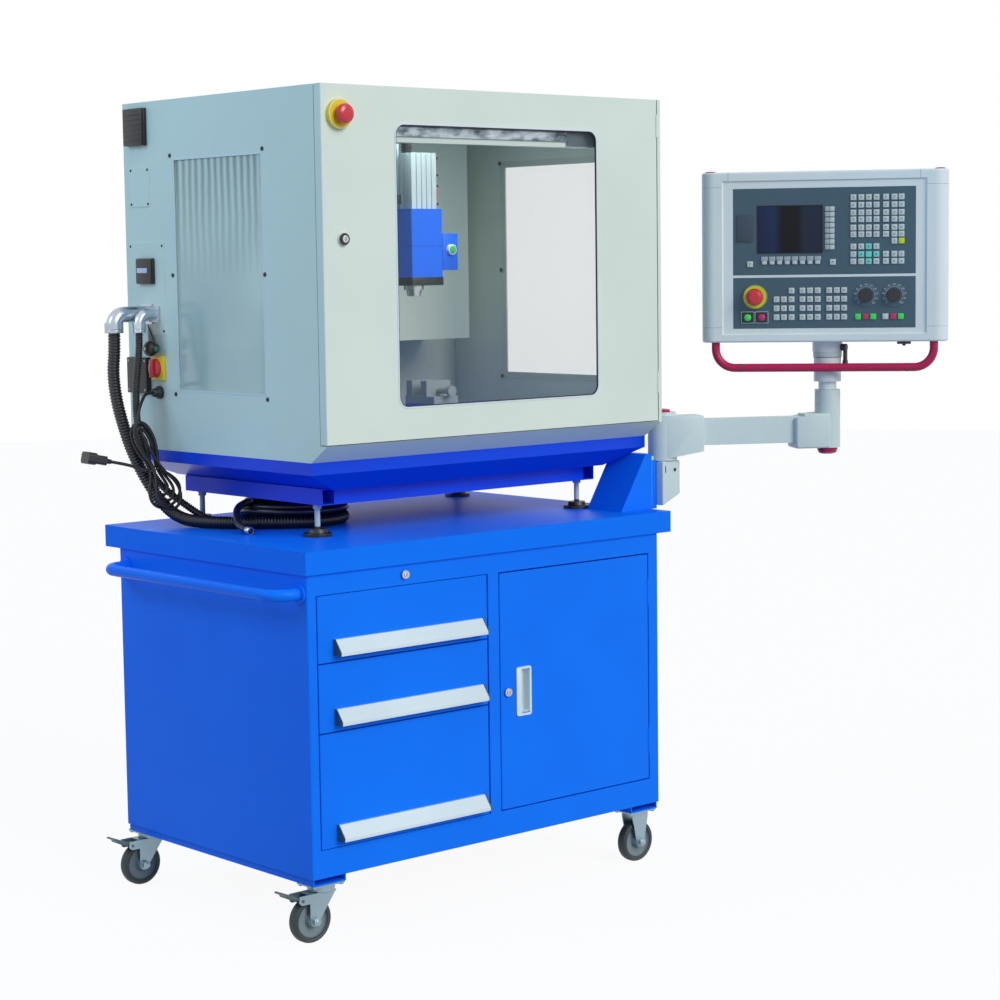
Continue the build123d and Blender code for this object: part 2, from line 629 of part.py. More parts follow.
def cupboard_door():
    """Folded door pan with a recessed pull and a cam lock."""
    left = CUPBOARD_LEFT + DOOR_GAP
    right = CUPBOARD_RIGHT - DOOR_GAP
    low = OPENING_BOTTOM + DOOR_GAP
    high = OPENING_TOP - DOOR_GAP
    back = CABINET_FRONT + DOOR_THICKNESS
    door = block(left, right, CABINET_FRONT, back, low, high)
    door = fillet(door.edges().filter_by(Axis.Z).group_by(Axis.Y)[0].sort_by(Axis.X)[0], 2)
    door -= block(left + SHEET, right - SHEET, CABINET_FRONT + SHEET, back + 1, low + SHEET, high - SHEET)
    for z in cupboard_hinges():
        door += block(right - 30, right - SHEET / 2, CABINET_FRONT + SHEET / 2, back, z - 34, z + 34)
        door = add_moving_knuckle(door, CUPBOARD_AXIS_X, CUPBOARD_AXIS_Y, z, HINGE_BARREL_RADIUS,
                                  HINGE_PIN_RADIUS, HINGE_BARREL_LENGTH, right)
    cup_x = CUP_PULL_WIDTH / 2
    cup_z = CUP_PULL_HEIGHT / 2
    rim = Pos(CUP_PULL_X, CABINET_FRONT, CUP_PULL_Z) * Rot(90, 0, 0) * RectangleRounded(
        CUP_PULL_WIDTH, CUP_PULL_HEIGHT, 6)
    cup = extrude(rim, amount=3, dir=(0, -1, 0)) + extrude(rim, amount=CUP_PULL_DEPTH + 2, dir=(0, 1, 0))
    pocket = Pos(CUP_PULL_X, CABINET_FRONT, CUP_PULL_Z) * Rot(90, 0, 0) * RectangleRounded(
        CUP_PULL_WIDTH - 9, CUP_PULL_HEIGHT - 12, 4)
    hollow = extrude(pocket, amount=4, dir=(0, -1, 0)) + extrude(pocket, amount=CUP_PULL_DEPTH, dir=(0, 1, 0))
    door = door + cup - hollow
    # Half-height lip that the fingers pull on
    door += block(CUP_PULL_X - cup_x + 3, CUP_PULL_X - cup_x + 15, CABINET_FRONT - 3, CABINET_FRONT,
                  CUP_PULL_Z - cup_z + 3, CUP_PULL_Z + cup_z - 3)
    lock_x = left + 19
    door += rod_y(lock_x, CABINET_FRONT - 2, CABINET_FRONT + SHEET, CUP_PULL_Z + 3, LOCK_RADIUS)
    door += rod_y(lock_x, CABINET_FRONT - 4, back, CUP_PULL_Z + 3, LOCK_RADIUS - 3)
    return door


def push_handle():
    """Bent tube along the left side, with a flange at each end."""
    z = CABINET_TOP - HANDLE_DROP
    x0 = CABINET_LEFT
    x1 = CABINET_LEFT - HANDLE_REACH
    middle = (CABINET_FRONT + CABINET_BACK) / 2
    y0 = middle - HANDLE_SPAN / 2
    y1 = middle + HANDLE_SPAN / 2
    route = FilletPolyline([Vector(x0, y0, z), Vector(x1, y0, z), Vector(x1, y1, z), Vector(x0, y1, z)],
                           radius=HANDLE_BEND)
    section = Plane(origin=route @ 0, z_dir=route % 0) * Circle(HANDLE_TUBE_RADIUS)
    tube = sweep(section, path=route)
    for y in (y0, y1):
        tube += rod_x(x0 - 4, x0, y, z, HANDLE_TUBE_RADIUS + 9)
    return tube


# Base frame, feet and tray

def foot_places():
    places = []
    for x in (ENCLOSURE_X - FRAME_HALF_SPAN, ENCLOSURE_X + FRAME_HALF_SPAN):
        for y in (FRAME_FRONT + FOOT_INSET, FRAME_FRONT + FRAME_LENGTH - FOOT_INSET):
            places.append((x, y))
    return places


def levelling_feet():
    feet = []
    for x, y in foot_places():
        pad = Pos(x, y, TOP_Z) * extrude(Circle(FOOT_PAD_RADIUS), amount=FOOT_PAD_HEIGHT * 0.5)
        pad = fillet(pad.edges().group_by(Axis.Z)[-1], 2)
        pad += Pos(x, y, TOP_Z + FOOT_PAD_HEIGHT * 0.5) * extrude(Circle(FOOT_PAD_RADIUS * 0.72),
                                                              amount=FOOT_PAD_HEIGHT * 0.5, taper=20)
        rod = post(x, y, TOP_Z + 2, FRAME_Z, FOOT_ROD_RADIUS)
        nut = Pos(x, y, FRAME_Z - 10) * extrude(RegularPolygon(FOOT_ROD_RADIUS + 4, 6), amount=10)
        feet.append(pad + rod + nut)
    return group(feet)


def square_tube(x0, x1, y0, y1, z0, z1, along):
    """Square tube with open ends."""
    tube = block(x0, x1, y0, y1, z0, z1)
    w = TUBE_WALL
    if along == "x":
        return tube - block(x0 - 1, x1 + 1, y0 + w, y1 - w, z0 + w, z1 - w)
    return tube - block(x0 + w, x1 - w, y0 - 1, y1 + 1, z0 + w, z1 - w)


def base_frame():
    left = ENCLOSURE_X - FRAME_HALF_SPAN
    right = ENCLOSURE_X + FRAME_HALF_SPAN
    half = TUBE / 2
    back = FRAME_FRONT + FRAME_LENGTH
    frame = None
    for x in (left, right):
        tube = square_tube(x - half, x + half, FRAME_FRONT, back, FRAME_Z, FRAME_Z + TUBE, "y")
        frame = tube if frame is None else frame + tube
    middle = (FRAME_FRONT + back) / 2
    for y in (FRAME_FRONT, middle - half, back - TUBE):
        frame += square_tube(left + half, right - half, y, y + TUBE, FRAME_Z, FRAME_Z + TUBE, "x")
    return frame


def tray_solid(inset):
    """Band and sloped pan of the tray, as one closed form, inset by a wall."""
    left = ENCLOSURE_LEFT + inset
    right = ENCLOSURE_RIGHT - inset
    front = TRAY_FRONT + inset
    back = ENCLOSURE_BACK - inset
    run = TRAY_SLOPE_RUN - inset * 0.4
    cx = (left + right) / 2
    cy = (front + back) / 2
    wide = Rectangle(right - left, back - front)
    run_front = TRAY_SLOPE_FRONT - inset * 0.4
    narrow = Rectangle(right - left - 2 * run, back - front - 2 * run_front)
    low = TRAY_FLOOR + inset
    pan = loft([Pos(cx, cy, low) * narrow, Pos(cx, cy, TRAY_BAND_Z + inset * 0.5) * wide])
    return pan + block(left, right, front, back, TRAY_BAND_Z + inset * 0.5, ENCLOSURE_BOTTOM + (1 if inset else 0))


def drip_tray():
    return tray_solid(0) - tray_solid(SHEET)


# Enclosure

def side_profile():
    """Side view of the enclosure walls, with the bevelled sill at the front."""
    return [(SHELL_FRONT, ENCLOSURE_TOP), (SHELL_FRONT, SILL_TOP), (ENCLOSURE_FRONT, SILL_TOP),
            (TRAY_FRONT, ENCLOSURE_BOTTOM), (ENCLOSURE_BACK, ENCLOSURE_BOTTOM), (ENCLOSURE_BACK, ENCLOSURE_TOP)]


def prism_x(points, x0, x1):
    """Closed outline of (y, z) points, made solid from x0 to x1."""
    face = make_face(Polyline([Vector(x0, y, z) for y, z in points], close=True))
    return extrude(face, amount=x1 - x0, dir=(1, 0, 0))


def enclosure_shell():
    s = SHEET
    shell = prism_x(side_profile(), ENCLOSURE_LEFT, ENCLOSURE_RIGHT)
    hollow = [(SHELL_FRONT + s, ENCLOSURE_TOP - s), (SHELL_FRONT + s, SILL_TOP - s),
              (ENCLOSURE_FRONT + 2.5 * s, SILL_TOP - s), (TRAY_FRONT + s * 0.5, ENCLOSURE_BOTTOM + s * 1.6),
              (TRAY_FRONT + s * 0.5, ENCLOSURE_BOTTOM - 1), (ENCLOSURE_BACK - s, ENCLOSURE_BOTTOM - 1),
              (ENCLOSURE_BACK - s, ENCLOSURE_TOP - s)]
    shell -= prism_x(hollow, ENCLOSURE_LEFT + s, ENCLOSURE_RIGHT - s)
    # Doorway, framed by two stiles and a deep lintel
    shell -= block(ENCLOSURE_LEFT + FRAME_STILE, ENCLOSURE_RIGHT - FRAME_STILE, SHELL_FRONT - 1,
                   SHELL_FRONT + s + 1, SILL_TOP - s - 1, ENCLOSURE_TOP - LINTEL_DEPTH)
    # Fixed strip beside the hinges
    shell += block(DOOR_RIGHT + DOOR_GAP, ENCLOSURE_RIGHT, ENCLOSURE_FRONT, SHELL_FRONT + s,
                   SILL_TOP - s, ENCLOSURE_TOP)
    # Return flanges that stiffen the doorway
    for x0 in (ENCLOSURE_LEFT + FRAME_STILE - s, ENCLOSURE_RIGHT - FRAME_STILE):
        shell += block(x0, x0 + s, SHELL_FRONT, SHELL_FRONT + 22, SILL_TOP, ENCLOSURE_TOP - LINTEL_DEPTH + s)
    shell += block(ENCLOSURE_LEFT + FRAME_STILE - s, ENCLOSURE_RIGHT - FRAME_STILE + s, SHELL_FRONT,
                   SHELL_FRONT + 22, ENCLOSURE_TOP - LINTEL_DEPTH, ENCLOSURE_TOP - LINTEL_DEPTH + s)
    # Window in each side wall
    height = SIDE_WINDOW_TOP - SIDE_WINDOW_BOTTOM
    width = SIDE_WINDOW_BACK - SIDE_WINDOW_FRONT
    centre = Pos(0, (SIDE_WINDOW_FRONT + SIDE_WINDOW_BACK) / 2, (SIDE_WINDOW_TOP + SIDE_WINDOW_BOTTOM) / 2)
    for x in (ENCLOSURE_LEFT, ENCLOSURE_RIGHT):
        shell -= Pos(x, 0, 0) * centre * Box(6 * s, width, height)
    for z in door_hinges():
        shell = add_fixed_knuckles(shell, DOOR_AXIS_X, DOOR_AXIS_Y, z, DOOR_BARREL_RADIUS, DOOR_PIN_RADIUS,
                                   DOOR_BARREL_LENGTH, DOOR_RIGHT + DOOR_GAP)
    return shell


def door_hinges():
    return (SILL_TOP + 90, ENCLOSURE_TOP - 60)


def side_window_panes():
    panes = []
    inner = SHEET + SEAT_GAP
    for x in (ENCLOSURE_LEFT + inner, ENCLOSURE_RIGHT - inner - PANE_THICKNESS):
        panes.append(block(x, x + PANE_THICKNESS, SIDE_WINDOW_FRONT - PANE_LAP, SIDE_WINDOW_BACK + PANE_LAP,
                           SIDE_WINDOW_BOTTOM - PANE_LAP, SIDE_WINDOW_TOP + PANE_LAP))
    return group(panes)


def window_face(grow):
    width = WINDOW_RIGHT - WINDOW_LEFT + 2 * grow
    height = WINDOW_TOP - WINDOW_BOTTOM + 2 * grow
    place = Pos((WINDOW_LEFT + WINDOW_RIGHT) / 2, ENCLOSURE_FRONT, (WINDOW_BOTTOM + WINDOW_TOP) / 2)
    return place * Rot(90, 0, 0) * RectangleRounded(width, height, WINDOW_CORNER + grow)


def enclosure_door():
    """Folded door pan across the whole front, with a rounded window and a stop button's disc."""
    s = SHEET
    left = ENCLOSURE_LEFT
    front = ENCLOSURE_FRONT
    door = block(left, DOOR_RIGHT, front, DOOR_BACK, DOOR_BOTTOM, ENCLOSURE_TOP)
    door = fillet(door.edges().filter_by(Axis.Z).group_by(Axis.Y)[0].sort_by(Axis.X)[0], 2.5)
    door -= block(left + s, DOOR_RIGHT - s, front + s, DOOR_BACK + 1, DOOR_BOTTOM + s, ENCLOSURE_TOP - s)
    # Upright stiffeners each side of the window
    for x in (WINDOW_LEFT - 40, WINDOW_RIGHT + 40):
        rib = block(x - 15, x + 15, front + s / 2, DOOR_BACK, DOOR_BOTTOM + s / 2, ENCLOSURE_TOP - s / 2)
        rib -= block(x - 15 + s, x + 15 - s, front + s, DOOR_BACK - s, DOOR_BOTTOM, ENCLOSURE_TOP)
        door += rib
    for z in door_hinges():
        door += block(DOOR_RIGHT - 24, DOOR_RIGHT - s / 2, front + s / 2, DOOR_BACK, z - 30, z + 30)
        door = add_moving_knuckle(door, DOOR_AXIS_X, DOOR_AXIS_Y, z, DOOR_BARREL_RADIUS, DOOR_PIN_RADIUS,
                                  DOOR_BARREL_LENGTH, DOOR_RIGHT)
    door -= extrude(window_face(0), amount=s + 2, dir=(0, 1, 0))
    # Stop button's disc and the bushing that its stem slides in
    door += rod_y(ESTOP_X, front - ESTOP_DISC_THICKNESS, front + s, ESTOP_Z, ESTOP_DISC_RADIUS)
    door += rod_y(ESTOP_X, front, DOOR_BACK, ESTOP_Z, 14)
    door -= rod_y(ESTOP_X, front - ESTOP_DISC_THICKNESS - 1, DOOR_BACK - 2, ESTOP_Z, 9 + RUN_FIT)
    # Lock: ring, barrel and body behind
    door += rod_y(DOOR_LOCK_X, front - 3, front + s, DOOR_LOCK_Z, DOOR_LOCK_RADIUS)
    door += rod_y(DOOR_LOCK_X, front - 9, DOOR_BACK - 2, DOOR_LOCK_Z, DOOR_LOCK_RADIUS - 4)
    return door


def door_pane():
    pane = extrude(window_face(PANE_LAP), amount=PANE_THICKNESS, dir=(0, 1, 0))
    return Pos(0, SHEET + SEAT_GAP, 0) * pane


def estop_head(radius, stem_length):
    """Mushroom head with a stem, along +Z, its underside at z = 0."""
    profile = [(0, -stem_length), (9, -stem_length), (9, 0), (radius - 5, 0), (radius, 4), (radius, 11),
               (radius - 3, 15), (radius - 9, 17.5), (0, 18)]
    return revolve(make_face(Polyline([Vector(r, 0, z) for r, z in profile], close=True)), Axis.Z)


def door_estop_head():
    y = ENCLOSURE_FRONT - ESTOP_DISC_THICKNESS - ESTOP_TRAVEL - 1
    stem = ESTOP_DISC_THICKNESS + ESTOP_TRAVEL + 4
    return Pos(ESTOP_X, y, ESTOP_Z) * Rot(90, 0, 0) * estop_head(ESTOP_HEAD_RADIUS, stem)


# Fittings on the left wall

def on_wall(y, z, width, height, depth, lift=0.0):
    """Block on the left wall, given by its middle, standing out by depth."""
    x = ENCLOSURE_LEFT - lift
    return block(x - depth, x, y - width / 2, y + width / 2, z - height / 2, z + height / 2)


def side_cover_plates():
    small = on_wall(SMALL_COVER_Y, SMALL_COVER_Z, SMALL_COVER_WIDTH, SMALL_COVER_HEIGHT, FITTING_PLATE)
    large = on_wall(LARGE_COVER_Y, LARGE_COVER_Z, LARGE_COVER_WIDTH, LARGE_COVER_HEIGHT, FITTING_PLATE)
    return group([small, large])


def side_boxes():
    """Black fittings: vent box, cable box, terminal box, a round knob with a small tap and the mains gland."""
    vent = on_wall(VENT_Y, VENT_Z, VENT_WIDTH, VENT_BOX_HEIGHT, VENT_DEPTH)
    vent = chamfer(vent.edges().group_by(Axis.X)[0], 3)
    for k in range(VENT_SLOTS):
        z = VENT_Z + (k - (VENT_SLOTS - 1) / 2) * VENT_SLOT_PITCH
        vent -= on_wall(VENT_Y, z, VENT_WIDTH - 16, VENT_SLOT_HEIGHT, 5, VENT_DEPTH - 4)
    cable = on_wall(CABLE_BOX_Y, CABLE_BOX_Z, CABLE_BOX_WIDTH, CABLE_BOX_HEIGHT, CABLE_BOX_DEPTH, FITTING_PLATE)
    cable = fillet(cable.edges().group_by(Axis.X)[0], 3)
    terminal = on_wall(TERMINAL_Y, TERMINAL_Z, TERMINAL_WIDTH, TERMINAL_HEIGHT, TERMINAL_DEPTH)
    terminal = fillet(terminal.edges().group_by(Axis.X)[0], 3)
    knob = rod_x(ENCLOSURE_LEFT - KNOB_LENGTH, ENCLOSURE_LEFT, KNOB_Y, KNOB_Z, 10)
    knob = fillet(knob.edges().group_by(Axis.X)[0], 3)
    knob += rod_y(ENCLOSURE_LEFT - KNOB_LENGTH / 2, KNOB_Y - 24, KNOB_Y, KNOB_Z, 4.5)
    gland = rod_x(ENCLOSURE_LEFT - GLAND_NUT, ENCLOSURE_LEFT, GLAND_Y, GLAND_Z, 14)
    gland += rod_x(ENCLOSURE_LEFT - GLAND_LENGTH, ENCLOSURE_LEFT - GLAND_NUT, GLAND_Y, GLAND_Z, 9)
    return group([vent, cable, terminal, knob, gland])


def elbow(y, reach, hose, wall_x):
    """Cast conduit elbow: square flange, a quarter bend and a collar that holds the hose."""
    outer = hose / 2 + 3.5
    bend = reach * 0.5
    x0 = wall_x
    x1 = ENCLOSURE_LEFT - reach
    route = FilletPolyline([Vector(x0, y, ELBOW_Z), Vector(x1, y, ELBOW_Z), Vector(x1, y, COLLAR_Z + 8)],
                           radius=min(bend, ELBOW_Z - COLLAR_Z - 14))
    pipe = sweep(Plane(origin=route @ 0, z_dir=route % 0) * Circle(outer), path=route)
    side = outer + 5
    flange = block(x0 - 5, x0, y - side, y + side, ELBOW_Z - side, ELBOW_Z + side)
    flange = fillet(flange.edges().filter_by(Axis.X), 4)
    collar = post(x1, y, COLLAR_Z, COLLAR_Z + 22, outer + 2)
    return pipe + flange + collar


def conduit_fittings():
    """The two hose elbows, bolted to the wall's large cover plate."""
    wall = ENCLOSURE_LEFT - FITTING_PLATE
    large = elbow(LARGE_ELBOW_Y, LARGE_ELBOW_REACH, LARGE_HOSE_DIAMETER, wall)
    small = elbow(SMALL_ELBOW_Y, SMALL_ELBOW_REACH, SMALL_HOSE_DIAMETER, wall)
    return group([large, small])


def main_switch_plate():
    plate = on_wall(SWITCH_Y, SWITCH_Z, SWITCH_SIDE, SWITCH_SIDE, 8)
    plate = fillet(plate.edges().filter_by(Axis.X), 5)
    plate += rod_x(ENCLOSURE_LEFT - 14, ENCLOSURE_LEFT - 8, SWITCH_Y, SWITCH_Z, 24)
    return plate - rod_x(ENCLOSURE_LEFT - 15, ENCLOSURE_LEFT - 2, SWITCH_Y, SWITCH_Z, 5 + RUN_FIT)


def main_switch_knob():
    """Round rotary handle with a raised grip across it and a stem into the switch."""
    x = ENCLOSURE_LEFT - 14 - SEAT_GAP
    disc = rod_x(x - 12, x, SWITCH_Y, SWITCH_Z, 22)
    disc = fillet(disc.edges().group_by(Axis.X)[0], 2)
    grip = block(x - 26, x - 11, SWITCH_Y - 6, SWITCH_Y + 6, SWITCH_Z - 21, SWITCH_Z + 21)
    grip = fillet(grip.edges().group_by(Axis.X)[0], 2)
    stem = rod_x(x, ENCLOSURE_LEFT - 3, SWITCH_Y, SWITCH_Z, 5)
    return disc + grip + stem


# Cords

LARGE_HOSE_ROUTE = [(-530, 304, COLLAR_Z), (-530, 304, 1206), (-536, 304, 1160), (-530, 303.5, 1100),
                    (-514, 302, 1038), (-494, 299, 978), (-470, 291, 924), (-450, 274, 880), (-437, 244, 848),
                    (-428, 202, 832), (-419, 158, 829.2), (-402, 116, 829), (-376, 78, 829), (-345, 45, 829),
                    (-312, 14, 829)]
SMALL_HOSE_ROUTE = [(-486, 272, COLLAR_Z), (-486, 272, 1212), (-493, 271, 1170), (-501, 268, 1120),
                    (-504, 264, 1065), (-499, 259, 1012), (-486, 255, 962), (-466, 249, 917), (-434, 233, 882),
                    (-404, 208, 853), (-387, 174, 831), (-370, 136, 823.6), (-344, 104, 823.6),
                    (-318, 66, 823.6)]
MAINS_FEED = [(-460, GLAND_Y, GLAND_Z), (-472, GLAND_Y, GLAND_Z), (-484, 260, 1108), (-496, 250, 1099),
              (-510, 239, 1086), (-522, 229, 1068), (-530, 223, 1046)]
MAINS_LEAD = [(-500, 218, 941), (-520, 226, 949), (-541, 233, 957), (-563, 240, 963), (-586, 243, 968)]
HOSE_TAIL = [(-312, 96, 867), (-346, 84, 870), (-380, 64, 864), (-406, 34, 846), (-420, 0, 828.5),
             (-420, -38, 823.3)]


def vectors(route):
    return [Vector(*point) for point in route]


def cord(name, route, diameter):
    """Plain tube along a hand-chosen route, each corner rounded as far as its runs allow."""
    points = vectors(route)
    radii = []
    for a, b, c in zip(points, points[1:], points[2:]):
        turn = math.radians((b - a).get_angle(c - b))
        shorter = min((b - a).length, (c - b).length)
        radii.append(0.45 * shorter / math.tan(turn / 2))
    print(name, "least bend", round(min(radii), 1), "is", round(min(radii) / diameter, 1), "diameters")
    path = FilletPolyline(points, radius=radii)
    section = Plane(origin=path @ 0, z_dir=path % 0) * Circle(diameter / 2)
    tube = sweep(section, path=path)
    print(name, "length", round(path.length, 1), "volume ratio",
          round(tube.volume / (path.length * math.pi * diameter ** 2 / 4), 4))
    return tube


HANK_TOP = Vector(-536, 222, 1056)
HANK_FOOT = Vector(-455, 207, 866)
HANK_WIDTH = 48.0
HANK_DEPTH = 20.0


def mains_hank():
    """Outer shape of the folded and tied bunch of mains lead."""
    axis = HANK_FOOT - HANK_TOP
    along = axis.normalized()
    middle = (HANK_TOP + HANK_FOOT) * 0.5
    frame = Plane(origin=middle, x_dir=along, z_dir=Vector(0, 1, 0) - along * along.Y)
    return extrude(frame * SlotOverall(axis.length, HANK_WIDTH), amount=HANK_DEPTH / 2, both=True)


def mains_plug():
    """Moulded angled plug on the free end of the mains lead."""
    start = Vector(*MAINS_LEAD[-1])
    before = Vector(*MAINS_LEAD[-2])
    along = (start - before).normalized()
    frame = Plane(origin=start, z_dir=along, x_dir=(0, 1, 0))
    relief = frame * extrude(Circle(5), amount=14, taper=-4)
    neck = frame * (Pos(0, 0, 14) * extrude(RectangleRounded(24, 20, 5), amount=28))
    body = frame * (Pos(0, 0, 42) * extrude(RectangleRounded(40, 26, 8), amount=20))
    return relief + neck + body


COIL_CENTRE = (-215.0, 85.0)
COIL_OUTER = 130.0
COIL_INNER = 84.0
COIL_HEIGHT = 58.0


def hose_coil():
    """Outer shape of the loose coil of hose that lies on the worktop, under the tray."""
    ring = Pos(COIL_CENTRE[0], COIL_CENTRE[1], TOP_Z + COIL_HEIGHT / 2) * (
        Cylinder(COIL_OUTER, COIL_HEIGHT) - Cylinder(COIL_INNER, COIL_HEIGHT))
    return fillet(ring.edges().filter_by(GeomType.CIRCLE), 8)


# Arm and control panel

def arm_pedestal():
    """Sloped sheet pedestal on the worktop's right edge, open below."""
    right = TOP_WIDTH / 2
    back = PEDESTAL_BACK
    top = PEDESTAL_TOP
    outer = outline_y([(right - PEDESTAL_WIDTH, TOP_Z), (right, TOP_Z), (right, top), (PEDESTAL_INNER, top)],
                      PEDESTAL_FRONT, back)
    s = PLATE
    inner = outline_y([(right - PEDESTAL_WIDTH + 2 * s, TOP_Z - 1), (right - s, TOP_Z - 1), (right - s, top - s),
                       (PEDESTAL_INNER + s, top - s)], PEDESTAL_FRONT + s, back - s)
    return outer - inner


def wall_bracket():
    """Cast bracket bolted to the pedestal, with the boss and pin that the arm turns on."""
    x0 = TOP_WIDTH / 2
    flange = block(x0, x0 + 7, PEDESTAL_FRONT, PEDESTAL_BACK, TOP_Z + 6, PEDESTAL_TOP - 6)
    shelf_top = ROOT_BOTTOM - SEAT_GAP
    boss = post(PIVOT_X, PIVOT_Y, shelf_top - 26, shelf_top, ROOT_RADIUS - 6)
    web_half = 9
    web = outline_y([(x0 + 6, TOP_Z + 10), (x0 + 6, shelf_top), (PIVOT_X, shelf_top), (PIVOT_X, shelf_top - 26)],
                    PIVOT_Y - web_half + 4, PIVOT_Y + web_half + 4)
    arm = block(x0 + 6, PIVOT_X, PIVOT_Y - 4, PIVOT_Y + ROOT_RADIUS - 8, shelf_top - 20, shelf_top)
    pin = post(PIVOT_X, PIVOT_Y, shelf_top - 4, ROOT_TOP - 12, PIVOT_PIN_RADIUS)
    return flange + boss + web + arm + pin


def elbow_point():
    angle = math.radians(ARM_ANGLE)
    return (PIVOT_X + ARM_LENGTH * math.cos(angle), PIVOT_Y + ARM_LENGTH * math.sin(angle))


def arm_link():
    """Hollow swinging arm between two cast sockets, with domed caps."""
    ex, ey = elbow_point()
    mid_z = ARM_TUBE_BOTTOM + ARM_TUBE_HEIGHT / 2
    place = Pos(PIVOT_X, PIVOT_Y, mid_z) * Rot(0, 0, ARM_ANGLE)
    tube = place * Pos(ARM_LENGTH / 2, 0, 0) * Box(ARM_LENGTH, ARM_TUBE_WIDTH, ARM_TUBE_HEIGHT)
    tube -= place * Pos(ARM_LENGTH / 2, 0, 0) * Box(ARM_LENGTH + 2, ARM_TUBE_WIDTH - 2 * ARM_WALL,
                                                    ARM_TUBE_HEIGHT - 2 * ARM_WALL)
    root = post(PIVOT_X, PIVOT_Y, ROOT_BOTTOM, ROOT_TOP, ROOT_RADIUS)
    root += Pos(PIVOT_X, PIVOT_Y, ROOT_TOP) * extrude(Circle(ROOT_RADIUS + 1), amount=CAP_HEIGHT, taper=22)
    elbow_post = post(ex, ey, ELBOW_BOTTOM, ELBOW_TOP, ELBOW_RADIUS)
    elbow_post += Pos(ex, ey, ELBOW_BOTTOM) * Rot(180, 0, 0) * extrude(
        Circle(NECK_RADIUS + 2), amount=CAP_HEIGHT + 5, taper=15)
    collar = place * Pos(ARM_LENGTH - ELBOW_RADIUS - 14, 0, 0) * Box(40, ARM_TUBE_WIDTH + 10, ARM_TUBE_HEIGHT + 12)
    arm = tube + root + elbow_post + collar
    arm -= post(PIVOT_X, PIVOT_Y, ROOT_BOTTOM - 1, ROOT_TOP - 11, PIVOT_PIN_RADIUS + RUN_FIT)
    arm -= post(ex, ey, ELBOW_BOTTOM + 20, ELBOW_TOP + 1, PIVOT_PIN_RADIUS + RUN_FIT)
    return arm


def panel_place():
    """Frame of the panel: x along its width, y out of its back, z up, at its bottom middle."""
    ex, ey = elbow_point()
    return Pos(ex, ey, PANEL_BOTTOM) * Rot(0, 0, PANEL_YAW) * Pos(PANEL_SHIFT, 0, 0)


def on_plate(u, v):
    """Panel coordinates of a point u right and v down from the screen plate's top left corner."""
    return (-PLATE_WIDTH / 2 + u, PANEL_HEIGHT - PLATE_TOP_MARGIN - v)


def key_plate_v():
    return SCREEN_PLATE_HEIGHT + PLATE_SPACING


def raised(u, v, width, height, rise, sink=0.0):
    """Rectangular key standing on the front plate, given by its centre."""
    x, z = on_plate(u, v)
    front = -PANEL_FORWARD
    return block(x - width / 2, x + width / 2, front - rise, front + sink, z - height / 2, z + height / 2)


def panel_body():
    """Die-cast housing with rounded side columns and a recess at the front for the two plates."""
    front = -PANEL_FORWARD
    back = front + PANEL_DEPTH
    face = front - PLATE_RECESS
    outline = RectangleRounded(PANEL_WIDTH, back - face, PANEL_CORNER)
    body = Pos(0, (face + back) / 2, 0) * extrude(outline, amount=PANEL_HEIGHT)
    body = fillet(body.edges().group_by(Axis.Z)[-1] + body.edges().group_by(Axis.Z)[0], 5)
    inner = RectangleRounded(PANEL_WIDTH - 2 * PANEL_WALL, PANEL_DEPTH - 2 * PANEL_WALL, PANEL_CORNER - PANEL_WALL)
    body -= Pos(0, (front + back) / 2, PANEL_WALL) * extrude(inner, amount=PANEL_HEIGHT - 2 * PANEL_WALL)
    plates = SCREEN_PLATE_HEIGHT + PLATE_SPACING + KEY_PLATE_HEIGHT
    top = PANEL_HEIGHT - PLATE_TOP_MARGIN
    edge = PLATE_WIDTH / 2
    gap = SEAT_GAP
    recess_low = top - plates - RECESS_BOTTOM
    recess_high = top + RECESS_TOP
    mouth = Plane(origin=(0, front, (recess_low + recess_high) / 2), x_dir=(1, 0, 0), z_dir=(0, -1, 0))
    floor = Rectangle(2 * (edge + RECESS_SIDE), recess_high - recess_low)
    body -= mouth * extrude(floor, amount=PLATE_RECESS + 1, taper=-35)
    for high, low in ((top, top - SCREEN_PLATE_HEIGHT), (top - SCREEN_PLATE_HEIGHT - PLATE_SPACING, top - plates)):
        body -= block(-edge - gap, edge + gap, front - 1, front + PANEL_WALL + 1, low - gap, high + gap)
    # Neck, sleeve and coupling under the housing, turned about the elbow
    shift = -PANEL_SHIFT
    coupling_z = -2.0
    sleeve_top = -23.0
    sleeve_bottom = -94.0
    neck_bottom = ELBOW_TOP - PANEL_BOTTOM + SEAT_GAP
    body += post(shift, 0, sleeve_top - 1, coupling_z + 2.5, COUPLING_RADIUS)
    body += post(shift, 0, sleeve_bottom, sleeve_top, SLEEVE_RADIUS)
    body += post(shift, 0, neck_bottom, sleeve_bottom, NECK_RADIUS)
    body += post(shift, 0, neck_bottom - 70, neck_bottom, PIVOT_PIN_RADIUS)
    return panel_place() * body


